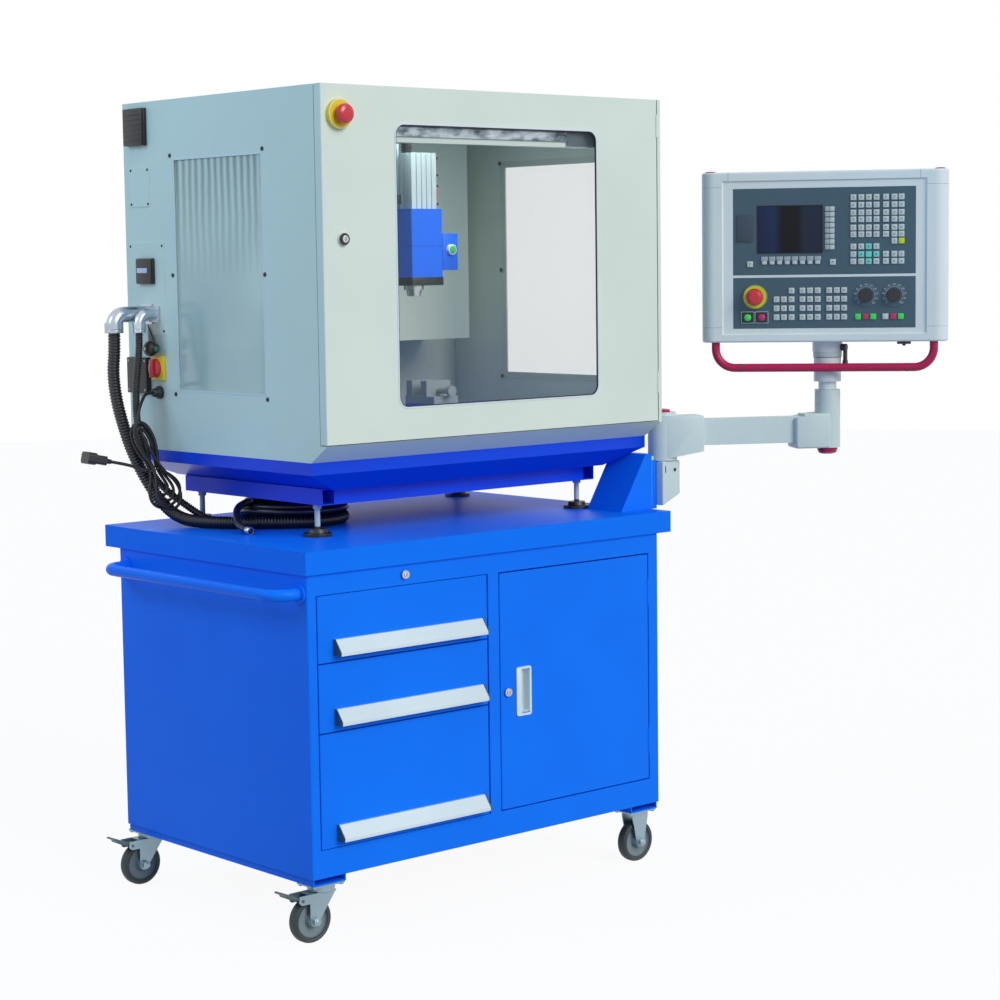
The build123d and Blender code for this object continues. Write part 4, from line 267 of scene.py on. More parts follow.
steel = finish("steel", (190, 196, 200), 0.24, metallic=0.95, grain=500, bump=0.14, stretch=(0.1, 0.1, 1))
cast_iron = finish("cast_iron", (112, 124, 130), 0.52, grain=420, bump=0.5, mottle=0.08)
yellow_plastic = finish("yellow_plastic", (240, 212, 34), 0.34, grain=1400, mottle=0.03, coat=0.2)
red_plastic = finish("red_plastic", (214, 32, 48), 0.30, grain=1400, mottle=0.04, coat=0.35)
raspberry = finish("raspberry", (190, 20, 82), 0.34, grain=1100, mottle=0.04, gloss=0.35)
green_plastic = finish("green_plastic", (40, 200, 96), 0.30, grain=1400, mottle=0.04, coat=0.35)
key_grey = finish("key_grey", (206, 215, 212), 0.50, grain=1800, mottle=0.03)
# White for printed marks and small white parts, and for the painted highlights round the windows' edges
white_and_painted_highlight = finish("white_and_painted_highlight", (232, 238, 240), 0.50, grain=1500, mottle=0.02)
head_blue = finish("head_blue", (22, 112, 250), 0.32, mottle=0.03, gloss=0.3)
print("finishes", len(bpy.data.materials))

# %% [markdown]
# Cords come before any other piece. Two ribbed conduits leave the elbows on the left wall, hang down
# beside it and run into the coil on the worktop. A NURBS line with the route's points gives each one its
# smooth path, and the coil's turns are further points of the same line, worked out by a loop.

# %% Route helper
COIL_CENTRE = Vector((-0.215, 0.085, 0))


def route_points(name, points):
    """Points read along a smooth NURBS line through a route."""
    curve = bpy.data.curves.new(name, "CURVE")
    curve.dimensions = "3D"
    curve.resolution_u = 10
    line = curve.splines.new("NURBS")
    line.points.add(len(points) - 1)
    for control, point in zip(line.points, points):
        control.co = (*point, 1)
    line.order_u = 3
    line.use_endpoint_u = True
    holder = bpy.data.objects.new(name, curve)
    bpy.context.scene.collection.objects.link(holder)
    mesh = bpy.data.meshes.new_from_object(holder.evaluated_get(bpy.context.evaluated_depsgraph_get()))
    found = [vertex.co.copy() for vertex in mesh.vertices]
    bpy.data.meshes.remove(mesh)
    bpy.data.objects.remove(holder)
    return found


def run_length(points):
    return sum((b - a).length for a, b in zip(points, points[1:]))


def evenly(points, step):
    """The same line, cut into equal steps."""
    total = run_length(points)
    count = max(2, round(total / step))
    spaced = [points[0]]
    target = total / count
    walked = 0.0
    for a, b in zip(points, points[1:]):
        length = (b - a).length
        while length > 0 and walked + length >= target * len(spaced) - 1e-9 and len(spaced) < count:
            spaced.append(a.lerp(b, (target * len(spaced) - walked) / length))
        walked += length
    return spaced + [points[-1]]


def hose_mesh(name, points, radius_at, sides):
    """Tube round the points, whose radius follows the distance along it, with closed ends."""
    verts = []
    faces = []
    side = (points[1] - points[0]).orthogonal().normalized()
    for index, point in enumerate(points):
        ahead = points[min(index + 1, len(points) - 1)]
        behind = points[max(index - 1, 0)]
        along = (ahead - behind).normalized()
        side = (side - along * side.dot(along)).normalized()
        other = along.cross(side)
        radius = radius_at(index)
        for k in range(sides):
            angle = 2 * math.pi * k / sides
            verts.append(point + side * radius * math.cos(angle) + other * radius * math.sin(angle))
    for ring in range(len(points) - 1):
        for k in range(sides):
            following = (k + 1) % sides
            a = ring * sides
            b = a + sides
            faces.append((a + k, a + following, b + following, b + k))
    faces.append(tuple(reversed(range(sides))))
    faces.append(tuple(range(len(verts) - sides, len(verts))))
    mesh = bpy.data.meshes.new(name)
    mesh.from_pydata(verts, [], faces)
    mesh.polygons.foreach_set("use_smooth", [True] * len(mesh.polygons))
    hose = bpy.data.objects.new(name, mesh)
    bpy.context.scene.collection.objects.link(hose)
    return hose


def ribbed_hose(name, points, diameter, pitch, depth, sides):
    """Conduit with round ribs, RIB_STEPS rings to a rib."""
    spaced = evenly(points, pitch / RIB_STEPS)
    outer = diameter / 2

    def radius_at(index):
        wave = 0.5 - 0.5 * math.cos(2 * math.pi * index / RIB_STEPS)
        return outer - depth * wave ** 1.6
    return hose_mesh(name, spaced, radius_at, sides), spaced


def coil_points(start_angle, travel, start_radius, radius, heights):
    """Turns of a coil, counter-clockwise from above. Radius and height follow the travel in degrees."""
    points = []
    count = round(travel / COIL_STEP)
    for k in range(1, count + 1):
        gone = travel * k / count
        angle = math.radians(start_angle + gone)
        settled = min(1.0, gone / 90)
        reach = start_radius + (radius(gone) - start_radius) * settled
        turned_by = Vector((reach * math.cos(angle), reach * math.sin(angle), heights(gone)))
        points.append(COIL_CENTRE + turned_by)
    return points


def between(table):
    """Function that eases from value to value between (distance, value) pairs."""
    def look_up(gone):
        for (a, low), (b, high) in zip(table, table[1:]):
            if gone <= b:
                share = min(1.0, max(0.0, (gone - a) / (b - a)))
                return low + (high - low) * (3 - 2 * share) * share * share
        return table[-1][1]
    return look_up


RIB_STEPS = 6
COIL_STEP = 24
LARGE_DIAMETER = 0.028
SMALL_DIAMETER = 0.017
SMOOTH_DIAMETER = 0.016
MAINS_DIAMETER = 0.007

# %% The two ribbed hoses
LARGE_ROUTE = [(-0.530, 0.304, 1.246), (-0.530, 0.304, 1.206), (-0.536, 0.304, 1.160),
               (-0.530, 0.3035, 1.100), (-0.514, 0.302, 1.038), (-0.494, 0.299, 0.978),
               (-0.470, 0.291, 0.924), (-0.450, 0.274, 0.880), (-0.437, 0.244, 0.848),
               (-0.428, 0.202, 0.832), (-0.419, 0.158, 0.8292), (-0.402, 0.116, 0.829),
               (-0.376, 0.078, 0.829), (-0.345, 0.045, 0.829), (-0.312, 0.014, 0.829)]
SMALL_ROUTE = [(-0.486, 0.272, 1.246), (-0.486, 0.272, 1.212), (-0.493, 0.271, 1.170),
               (-0.501, 0.268, 1.120), (-0.504, 0.264, 1.065), (-0.499, 0.259, 1.012),
               (-0.486, 0.255, 0.962), (-0.466, 0.249, 0.917), (-0.434, 0.233, 0.882),
               (-0.404, 0.208, 0.853), (-0.387, 0.174, 0.831), (-0.370, 0.136, 0.8236),
               (-0.344, 0.104, 0.8236), (-0.318, 0.066, 0.8236)]
LARGE_LEVEL = 0.829
SMALL_TRAVEL = 640
COIL_REACH = 0.1155
small_level = between([(0, 0.8236), (250, 0.8236), (360, 0.8412), (SMALL_TRAVEL, 0.8412)])
large_turns = coil_points(216, 264, 0.120, lambda gone: COIL_REACH, lambda gone: LARGE_LEVEL)
small_turns = coil_points(190, SMALL_TRAVEL, 0.1047, lambda gone: 0.0925, small_level)
large_line = route_points("large_line", [Vector(p) for p in LARGE_ROUTE] + large_turns)
small_line = route_points("small_line", [Vector(p) for p in SMALL_ROUTE] + small_turns)
large_hose, large_path = ribbed_hose("large_conduit", large_line, LARGE_DIAMETER, 0.0068, 0.0021, 18)
small_hose, small_path = ribbed_hose("small_conduit", small_line, SMALL_DIAMETER, 0.0056, 0.0018, 14)
print("large hose", round(run_length(large_path), 3), "small hose", round(run_length(small_path), 3))

# %% [markdown]
# The open-ended coolant hose is smooth. It starts at the large hose's coupling at the back of the coil,
# makes two turns on top of it, and hangs over the coil's left edge onto the worktop, where it ends in an
# open metal ring.

# %% Smooth hose
TAIL_ROUTE = [(-0.346, 0.084, 0.8700), (-0.380, 0.064, 0.8640), (-0.406, 0.034, 0.8460),
              (-0.420, 0.000, 0.8285), (-0.420, -0.038, 0.8233)]
SMOOTH_START = 136
smooth_level = between([(0, 0.831), (32, 0.8515), (370, 0.8515), (430, 0.861), (700, 0.8625), (757, 0.869)])
smooth_reach = between([(0, COIL_REACH), (32, 0.1205), (350, 0.1205), (430, 0.1075), (700, 0.1065),
                        (757, 0.099)])
smooth_turns = coil_points(SMOOTH_START, 750, COIL_REACH, smooth_reach, smooth_level)
start = math.radians(SMOOTH_START)
smooth_first = COIL_CENTRE + Vector((COIL_REACH * math.cos(start), COIL_REACH * math.sin(start), 0.831))
smooth_line = route_points("smooth_line", [smooth_first] + smooth_turns + [Vector(p) for p in TAIL_ROUTE])
smooth_path = evenly(smooth_line, 0.006)
coolant_hose = hose_mesh("coolant_hose", smooth_path, lambda index: SMOOTH_DIAMETER / 2, 18)
print("smooth hose", round(run_length(smooth_path), 3))

# %% [markdown]
# The mains lead is thin and limp. It leaves its gland, is folded into loose loops that a tie holds
# together, and ends in a moulded plug. The loops differ in width and length, so each takes its own numbers
# from a short list.

# %% Mains lead
FEED_ROUTE = [(-0.460, 0.265, 1.112), (-0.472, 0.265, 1.112), (-0.484, 0.260, 1.108), (-0.496, 0.250, 1.099),
              (-0.510, 0.239, 1.086), (-0.522, 0.229, 1.068), (-0.530, 0.223, 1.046)]
LEAD_ROUTE = [(-0.500, 0.218, 0.941), (-0.520, 0.226, 0.949), (-0.541, 0.233, 0.957), (-0.563, 0.239, 0.963),
              (-0.586, 0.243, 0.968)]
HANK_TOP = Vector((-0.536, 0.222, 1.056))
HANK_FOOT = Vector((-0.455, 0.207, 0.866))
# Each loop: half widths at the top and the foot, how far short of each end it stays, and its depth
LOOPS = [(0.023, 0.031, 0.002, -0.010, -0.009), (0.015, 0.021, 0.016, 0.010, -0.002),
         (0.024, 0.043, 0.006, -0.004, 0.005), (0.012, 0.016, 0.026, 0.022, 0.010)]
TIE_SHARE = 0.56
hank_axis = (HANK_FOOT - HANK_TOP).normalized()
hank_side = Vector((0, 1, 0)).cross(hank_axis).normalized()
hank_length = (HANK_FOOT - HANK_TOP).length


def hank_point(share, across, depth):
    return HANK_TOP + hank_axis * (hank_length * share) + hank_side * across + Vector((0, depth, 0))


loop_points = []
for top_half, foot_half, top_short, foot_short, depth in LOOPS:
    high = top_short / hank_length
    low = 1 - foot_short / hank_length
    for share, across in ((TIE_SHARE, -0.005), (0.80, -foot_half), (low - 0.06, -foot_half * 0.8),
                          (low, 0.0), (low - 0.06, foot_half * 0.8), (0.80, foot_half), (TIE_SHARE, 0.005),
                          (0.30, top_half), (high + 0.07, top_half * 0.85), (high, 0.0),
                          (high + 0.07, -top_half * 0.85), (0.30, -top_half)):
        loop_points.append(hank_point(share, across, depth))
lead_line = [Vector(p) for p in FEED_ROUTE] + loop_points + [Vector(p) for p in LEAD_ROUTE]
mains_line = route_points("mains_line", lead_line)
mains_path = evenly(mains_line, 0.004)
mains_lead = hose_mesh("mains_lead", mains_path, lambda index: MAINS_DIAMETER / 2, 10)
print("mains lead", round(run_length(mains_path), 3))

# %% [markdown]
# Most trim is either a block with softened edges, a turned piece or a rounded frame. Three helpers model
# them as by hand: a primitive, then edit mode. Every piece ends at the origin with its place in its mesh,
# and rides on the body that carries it.

# %% Modelling helpers
FRONT = Matrix.Rotation(math.radians(90), 4, "X")
DOWN = Matrix.Rotation(math.pi, 4, "X")
ACROSS = Matrix.Rotation(math.radians(90), 4, "Y")
LEFT = Matrix(((0, 0, -1, 0), (-1, 0, 0, 0), (0, 1, 0, 0), (0, 0, 0, 1)))
RIGHT = Matrix(((0, 0, 1, 0), (1, 0, 0, 0), (0, 1, 0, 0), (0, 0, 0, 1)))
SMOOTH_BELOW = 32


def at(x, y, z):
    return Matrix.Translation((x, y, z))


def middle_of(name):
    low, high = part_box(name)
    return (low + high) / 2


def deselect():
    bpy.ops.object.select_all(action="DESELECT")


def choose(obj):
    deselect()
    obj.select_set(True)
    bpy.context.view_layer.objects.active = obj


def select_mesh():
    bpy.ops.mesh.select_all(action="SELECT")


def edit(obj):
    choose(obj)
    bpy.ops.object.mode_set(mode="EDIT")
    select_mesh()


def settle(obj, place=Matrix()):
    """Put the piece in place, with its object at the origin."""
    if bpy.context.mode != "OBJECT":
        bpy.ops.object.mode_set(mode="OBJECT")
    choose(obj)
    obj.matrix_world = place @ obj.matrix_world
    bpy.ops.object.transform_apply(location=True, rotation=True, scale=True)
    bpy.ops.object.shade_smooth_by_angle(angle=math.radians(SMOOTH_BELOW))
    return obj


def scaled(name, size):
    """The newest primitive, named, stretched to its size and open for editing."""
    obj = bpy.context.object
    obj.name = name
    obj.scale = size
    bpy.ops.object.transform_apply(location=True, rotation=True, scale=True)
    edit(obj)
    return obj


def block(name, low, high, place=Matrix(), bevel=0.0006, segments=2):
    """Block between two corners, with its edges rounded."""
    low = Vector(low)
    high = Vector(high)
    deselect()
    bpy.ops.mesh.primitive_cube_add(size=1, location=(low + high) / 2)
    obj = scaled(name, high - low)
    bpy.ops.mesh.bevel(offset=bevel, segments=segments, affect="EDGES")
    return settle(obj, place)


def turned(name, profile, place=Matrix(), steps=32):
    """Closed profile of (radius, height) points in millimetres, spun about Z."""
    deselect()
    bpy.ops.mesh.primitive_circle_add(vertices=len(profile), fill_type="NOTHING", radius=0.01)
    obj = bpy.context.object
    obj.name = name
    for vertex, (radius, height) in zip(obj.data.vertices, profile):
        vertex.co = (radius / 1000, 0, height / 1000)
    edit(obj)
    bpy.ops.mesh.spin(steps=steps, angle=2 * math.pi, center=(0, 0, 0), axis=(0, 0, 1))
    select_mesh()
    bpy.ops.mesh.remove_doubles(threshold=0.000002)
    bpy.ops.mesh.dissolve_degenerate(threshold=0.000001)
    bpy.ops.mesh.delete_loose(use_verts=True, use_edges=True, use_faces=False)
    select_mesh()
    bpy.ops.mesh.normals_make_consistent(inside=False)
    return settle(obj, place)


def rounded_frame(name, width, height, corner, band, depth, place=Matrix()):
    """Flat rounded frame in the XY plane, depth thick along Z. With no band it is a rounded plate."""
    deselect()
    bpy.ops.mesh.primitive_plane_add(size=1)
    obj = scaled(name, (width, height, 1))
    bpy.ops.mesh.bevel(offset=corner, segments=7, affect="VERTICES")
    select_mesh()
    if band:
        bpy.ops.mesh.inset(thickness=band)
        bpy.ops.mesh.delete(type="FACE")
        select_mesh()
    bpy.ops.mesh.extrude_region_move(TRANSFORM_OT_translate={"value": (0, 0, depth)})
    select_mesh()
    bpy.ops.mesh.normals_make_consistent(inside=False)
    return settle(obj, place)


def cut(obj, point, normal, place=Matrix()):
    """Keep what lies behind a plane, close the cut, and put the rest in place."""
    edit(obj)
    bpy.ops.mesh.bisect(plane_co=point, plane_no=normal, clear_outer=True, use_fill=True)
    return settle(obj, place)


def joined(pieces, name):
    """The pieces as one object."""
    deselect()
    for piece in pieces:
        piece.select_set(True)
    bpy.context.view_layer.objects.active = pieces[0]
    if len(pieces) > 1:
        bpy.ops.object.join()
    pieces[0].name = name
    return pieces[0]


def copies(obj, places, name):
    """One piece made of a copy at each place. Each copy has its own mesh before they are joined."""
    made = []
    for place in places:
        twin = obj.copy()
        twin.data = obj.data.copy()
        twin.data.transform(place)
        bpy.context.scene.collection.objects.link(twin)
        made.append(twin)
    bpy.data.objects.remove(obj)
    return joined(made, name)


def fit(obj, body="stand", material=black_plastic):
    """Give the piece its finish and the body it rides on."""
    obj.data.materials.clear()
    obj.data.materials.append(material)
    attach(obj, body)
    return obj


def paint(material, *names):
    for name in names:
        for slot in nodes[name].material_slots:
            slot.material = material


print("helpers ready")

# %% Cord fittings
def along_path(path, index):
    """Frame at a point of a path, with Z along it."""
    ahead = path[index + 1] - path[index] if index >= 0 else path[index] - path[index - 1]
    turn = ahead.to_track_quat("Z", "Y").to_matrix().to_4x4()
    return Matrix.Translation(path[index]) @ turn


coupling = turned("hose_coupling", [(0, -12), (15.2, -12), (15.8, -6), (15.8, 6), (13, 12), (10, 16),
                                    (9.2, 24), (0, 24)], along_path(large_path, -1), 28)
small_end = turned("small_coupling", [(0, -10), (9.6, -10), (10, -4), (10, 6), (7.5, 12), (0, 12)],
                   along_path(small_path, -1), 24)
ring = turned("hose_end_ring", [(6.2, 3), (6.2, -10), (8.6, -10), (9.2, -8), (9.2, 1), (8.4, 3)],
              along_path(smooth_path, -1), 28)
tie = turned("hank_tie", [(12.5, -2), (14, -2), (14.2, 0), (14, 2), (12.5, 2), (12, 0)], steps=20)
tie_turn = Matrix((hank_side, (0, 1, 0), hank_axis)).transposed().to_4x4()
settle(tie, Matrix.Translation(hank_point(TIE_SHARE, 0, 0)) @ tie_turn)
for piece, material in ((coupling, black_plastic), (small_end, black_plastic), (ring, bright_alloy),
                        (tie, black_plastic), (large_hose, hose_black), (small_hose, hose_black),
                        (coolant_hose, smooth_hose), (mains_lead, black_rubber)):
    fit(piece, material=material)
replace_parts(large_hose, "large_hose", "hose_coil")
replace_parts(small_hose, "small_hose")
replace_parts(coolant_hose, "hose_tail")
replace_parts(mains_lead, "mains_cord", "mains_hank")

# %% [markdown]
# Paint for the solids themselves. The cabinet and the pedestal share one blue, the slab on top is a little
# more matt, the tray under the enclosure is deeper, and the enclosure is a pale grey-green. Wheels change
# colour with distance from their axle, and the levelling feet with height, worked out from Object
# coordinates.

# %% Painted solids
WHEEL_REACH = 0.05
FULL_HEIGHT = 2.0
VISE_SEAT = 1.0717
FOOT_NUT_BOTTOM = 0.8225
FOOT_NUT_TOP = 0.8308
WHEELS = ("swivel_wheel_front", "swivel_wheel_rear", "fixed_wheel_front", "fixed_wheel_rear")


def wheel_colour(centre):
    """Hub, rim and tread by distance from the axle, as a share of WHEEL_REACH."""
    def build(tree, coords):
        offset = node(tree, "ShaderNodeVectorMath", {0: coords, 1: centre}, operation="SUBTRACT")
        flat = {0: offset.outputs[0], 1: (1 / WHEEL_REACH, 0, 1 / WHEEL_REACH)}
        shares = node(tree, "ShaderNodeVectorMath", flat, operation="MULTIPLY")
        distance = node(tree, "ShaderNodeVectorMath", {0: shares.outputs[0]}, operation="LENGTH")
        stops = [(0.0, (170, 180, 184)), (0.19, (150, 160, 164)), (0.22, (120, 134, 138)),
                 (0.70, (126, 140, 142)), (0.735, (54, 62, 64)), (1.0, (44, 52, 54))]
        return add_ramp(tree, distance.outputs["Value"], stops)
    return build


def height_colour(levels):
    """Bands of colour by height: (height in metres, colour) pairs."""
    def build(tree, coords):
        stops = [(z / FULL_HEIGHT, colour) for z, colour in levels]
        return add_ramp(tree, add_height(tree, coords, 0, FULL_HEIGHT), stops, "CONSTANT")
    return build


table_colour = height_colour([(0.0, (22, 92, 226)), (VISE_SEAT, (150, 158, 162))])
foot_colour = height_colour([(0.0, (24, 25, 27)), (FOOT_NUT_BOTTOM, (40, 44, 46)),
                             (FOOT_NUT_TOP, (190, 205, 210))])
table_finish = finish("table_finish", BLUE, 0.36, grain=600, colour_from=table_colour)
dark_zinc = finish("dark_zinc", (92, 108, 114), 0.42, metallic=0.6, grain=180, bump=0.25, mottle=0.12)
foot_finish = finish("foot", BLUE, 0.40, grain=600, colour_from=foot_colour)
paint(slab_blue, "worktop_slab")
paint(cabinet_blue, "cabinet_body", "push_handle", "cupboard_door", "arm_pedestal", "drawer_top",
      "drawer_middle", "drawer_bottom")
paint(tray_blue, "drip_tray", "base_frame")
paint(table_finish, "table")
paint(shell_grey, "enclosure_shell", "enclosure_door", "side_cover_plates", "control_box")
paint(arm_grey, "wall_bracket", "arm_link")
paint(panel_grey, "panel_body")
paint(slate, "screen_plate", "key_plate")
paint(black_plastic, "side_boxes", "mains_plug", "clamp_lever", "feed_knob", "speed_knob", "start_button",
      "stop_button")
paint(bright_alloy, "conduit_fittings")
paint(satin_alloy, "drawer_pull_top", "drawer_pull_middle", "drawer_pull_bottom", "spindle_motor")
paint(zinc, "caster_plates", "caster_fork_front", "caster_fork_rear")
paint(dark_zinc, "brake_pedal_front", "brake_pedal_rear")
paint(yellow_plastic, "main_switch_plate")
paint(red_plastic, "main_switch_knob", "door_estop_head", "panel_estop_head")
paint(raspberry, "panel_handle")
paint(cast_iron, "machine_bed", "machine_column", "saddle")
paint(steel, "spindle")
paint(head_blue, "spindle_head")
paint(foot_finish, "levelling_feet")
for name in WHEELS:
    centred = wheel_colour(middle_of(name))
    paint(finish(name + "_finish", BLUE, 0.55, grain=500, bump=0.3, colour_from=centred), name)
print("painted", len([o for o in nodes.values() if o.material_slots]))

# %% [markdown]
# The windows are clear acrylic with a grey-green cast. Alpha lets light through to the machine, which a
# refracting glass would keep dark, and the gloss on top still mirrors the room. The thin white frames round
# the windows are painted highlights, standing for the light caught by the sheets' cut edges.

# %% Windows
STRIPE_SCALE = 13.0
STRIPE_TOP = 1.62
STRIPE_FOOT = 1.36
PANE = 0.004
WINDOW = (-0.246, 0.328, 1.091, 1.676)
SIDE_WINDOW = (-0.133, 0.190, 1.120, 1.621)


def stripes(tree, coords):
    """Soft upright stripes near the top of a pale green sheet, which fade out downwards."""
    pattern = {"Scale": STRIPE_SCALE, "Distortion": 1.2, "Detail": 1.0, "Vector": coords}
    wave = node(tree, "ShaderNodeTexWave", pattern, bands_direction="Y")
    fade = add_height(tree, coords, STRIPE_FOOT, STRIPE_TOP)
    dark = node(tree, "ShaderNodeMath", {0: wave.outputs["Fac"], 1: fade}, operation="MULTIPLY")
    shade = add_ramp(tree, dark.outputs[0], [(0.0, (236, 246, 232)), (1.0, (150, 168, 164))])
    clouds = add_noise(tree, coords, 4.0, 1.0)
    slow = add_ramp(tree, clouds, [(0.3, (228, 232, 232)), (0.7, (255, 255, 250))])
    both = {"Factor": 1.0, "A": shade, "B": slow}
    return node(tree, "ShaderNodeMix", both, data_type="RGBA", blend_type="MULTIPLY").outputs["Result"]


def opening(edges):
    """Middle and size of an opening between two pairs of edges."""
    low_a, high_a, low_b, high_b = edges
    return (low_a + high_a) / 2, (low_b + high_b) / 2, high_a - low_a, high_b - low_b


door_glass = finish("door_glass", (186, 204, 200), 0.06, grain=40, bump=0.01, mottle=0.03, alpha=0.035,
                    edge=0)
left_glass = finish("left_glass", BLUE, 0.16, grain=40, bump=0.02, alpha=0.84, edge=0, colour_from=stripes)
right_glass = finish("right_glass", (222, 232, 226), 0.12, grain=40, bump=0.01, alpha=0.16, edge=0)
paint(door_glass, "door_pane")
low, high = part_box("side_window_panes")
left_pane = block("left_window_pane", low, (low.x + PANE, high.y, high.z), bevel=0.0004)
right_pane = block("right_window_pane", (high.x - PANE, low.y, low.z), high, bevel=0.0004)
for pane, material in ((left_pane, left_glass), (right_pane, right_glass)):
    fit(pane, "stand", material)
    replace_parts(pane, "side_window_panes")
shell_low, shell_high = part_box("enclosure_shell")
door_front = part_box("door_pane")[0].y - 0.0023
window_x, window_z, width, height = opening(WINDOW)
# Painted highlight: a thin white frame for the light caught by the door window's cut edge
window_highlight = rounded_frame("window_edge_highlight", width + 0.006, height + 0.006, 0.025, 0.0032, 0.0012,
                     at(window_x, door_front, window_z) @ FRONT)
fit(window_highlight, "enclosure_door", white_and_painted_highlight)
seal = rounded_frame("window_seal", width, height, 0.022, 0.0026, 0.0022,
                     at(window_x, door_front + 0.0023, window_z) @ FRONT)
fit(seal, "enclosure_door", black_rubber)
print("window", round(width, 3), "by", round(height, 3))
side_y, side_z, width, height = opening(SIDE_WINDOW)
SIDES = (("left", shell_low.x, LEFT), ("right", shell_high.x, RIGHT))
# Painted highlight: thin white frames for the light caught by the side windows' cut edges
for name, wall, turn in SIDES:
    edge = rounded_frame("side_window_edge_" + name, width + 0.005, height + 0.005, 0.003, 0.0032, 0.0008,
                         at(wall, side_y, side_z) @ turn)
    fit(edge, "stand", white_and_painted_highlight)
print("side windows", round(width, 3), "by", round(height, 3))

# %% Screws round the side windows
SCREW_ROWS = (1.110, 1.371, 1.631)
SCREW_COLUMNS = (-0.139, 0.204)
PANE_INSET = 0.0063
COVER_SCREWS = [(0.292, 1.604), (0.359, 1.604), (0.292, 1.529), (0.359, 1.529),
                (0.242, 1.436), (0.368, 1.436), (0.242, 1.248), (0.368, 1.248)]


def dome_screw(radius, height):
    """Domed screw head with a socket, its sizes in millimetres."""
    return turned("screw", [(0, -0.4), (radius, -0.4), (radius, height * 0.35),
                            (radius * 0.80, height * 0.78), (radius * 0.42, height),
                            (radius * 0.40, height * 0.55), (0, height * 0.55)], steps=20)


for name, wall, turn in SIDES:
    inner = wall + (PANE_INSET if name == "left" else -PANE_INSET)
    facing = RIGHT if name == "left" else LEFT
    spots = [(y, z) for y in SCREW_COLUMNS for z in SCREW_ROWS]
    places = [at(wall, y, z) @ turn for y, z in spots] + [at(inner, y, z) @ facing for y, z in spots]
    fit(copies(dome_screw(4.8, 2.6), places, "window_screws_" + name))
places = [at(shell_low.x - 0.002, y, z) @ LEFT for y, z in COVER_SCREWS]
fit(copies(dome_screw(3, 1.6), places, "cover_screws"))
print("screws placed")

# %% [markdown]
# Front door fittings: a stop button's yellow disc, a lock with a bright barrel, and the polished strip of
# the doorway's lintel that shows through the top of the window, with a painted reflection of the shop.

# %% Front door fittings
ESTOP = (-0.395, 1.692)
DOOR_LOCK = (-0.388, 1.441)
CUPBOARD_LOCK = (0.019, 0.458)
LINTEL_FACE = shell_low.y + 0.0225
LINTEL_TOP = 1.6925


def stop_disc(name, body, radius, height, place, material):
    """Low cone with a flat face, round a stop button's stem."""
    profile = [(9.4, 0), (9.4, height), (radius - 2.2, height), (radius, height - 2), (radius, 0)]
    fit(turned(name, profile, place, 48), body, material)


def lock(name, x, y, z, radius, body, ring_material):
    """Cam lock: a flat ring, a bright barrel and a keyway. Its radius is in millimetres."""
    place = at(x, y, z) @ FRONT
    outer = [(radius * 0.66, 0), (radius * 0.66, 3.4), (radius * 0.9, 3.4), (radius * 1.03, 1.8),
             (radius * 1.03, 0)]
    core = [(0, 0), (radius * 0.64, 0), (radius * 0.64, 4.2), (radius * 0.56, 5), (0, 5)]
    half = radius * 0.36 / 1000
    fit(turned(name + "_ring", outer, place, 32), body, ring_material)
    fit(turned(name + "_barrel", core, place, 28), body, steel)
    fit(block(name + "_keyway", (-0.0007, -half, 0.0046), (0.0007, half, 0.0053), place, 0.0002), body)


def mottled(tree, coords):
    """Painted reflection: dark and bright patches, as polished steel mirrors a cluttered shop."""
    patches = add_noise(tree, coords, 42.0, 4.0, (0.55, 1, 1.2))
    stops = [(0.34, (46, 56, 62)), (0.46, (140, 152, 160)), (0.56, (196, 206, 212)), (0.70, (228, 234, 236))]
    return add_ramp(tree, patches, stops)


stop_disc("door_stop_disc", "enclosure_door", 30.4, 11.5, at(ESTOP[0], door_front, ESTOP[1]) @ FRONT,
          yellow_plastic)
cabinet_low, cabinet_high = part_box("cabinet_body")
lock("door_lock", DOOR_LOCK[0], door_front - 0.006, DOOR_LOCK[1], 11.8, "enclosure_door", black_plastic)
lock("drawer_lock", middle_of("drawer_top").x, cabinet_low.y, cabinet_high.z - 0.022, 9.5, "stand", steel)
lock("cupboard_lock", CUPBOARD_LOCK[0], -0.3715, CUPBOARD_LOCK[1], 9.5, "cupboard_door", steel)
# The strip's colour is a painted reflection of the shop, in dark and bright patches
polished = finish("polished_strip", BLUE, 0.16, metallic=0.55, grain=60, bump=0.1, colour_from=mottled)
dull_steel = finish("dull_steel", (84, 98, 104), 0.40, grain=500, metallic=0.3)
for name, left, right, foot, depth, slot, material in (
        ("strip", -0.300, 0.258, 1.6530, 0.0013, "aluminium", polished),
        ("end", 0.2585, 0.352, 1.6440, 0.0010, "tool_steel", dull_steel)):
    sheet = block("lintel_" + name, (left, LINTEL_FACE, foot), (right, LINTEL_FACE + depth, LINTEL_TOP),
                  bevel=0.0004)
    fit(sheet, "stand", material)
print("door front at", round(door_front, 4))

# %% [markdown]
# Cabinet trim: dark end caps on the slanted pulls, a bright frame round the cupboard's recessed pull, and
# the bolts and nuts of the casters.

# %% Cabinet trim
CAP = 0.0018
PULL_X, PULL_Z, PULL_WIDTH, PULL_HEIGHT = (0.0655, 0.455, 0.0436, 0.1086)
AXLE_HEAD = 0.0225
FORK_TRAIL = 0.030
for name in ("top", "middle", "bottom"):
    low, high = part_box("drawer_pull_" + name)
    for side, x in (("left", low.x - CAP), ("right", high.x)):
        cap = block("pull_cap_%s_%s" % (name, side), (x, low.y - 0.0006, low.z - 0.0006),
                    (x + CAP, high.y - 0.0002, high.z + 0.0006), bevel=0.0004)
        fit(cut(cap, (x, low.y, low.z + 0.009), (0, -0.80, 0.60)), "drawer_" + name, slate)
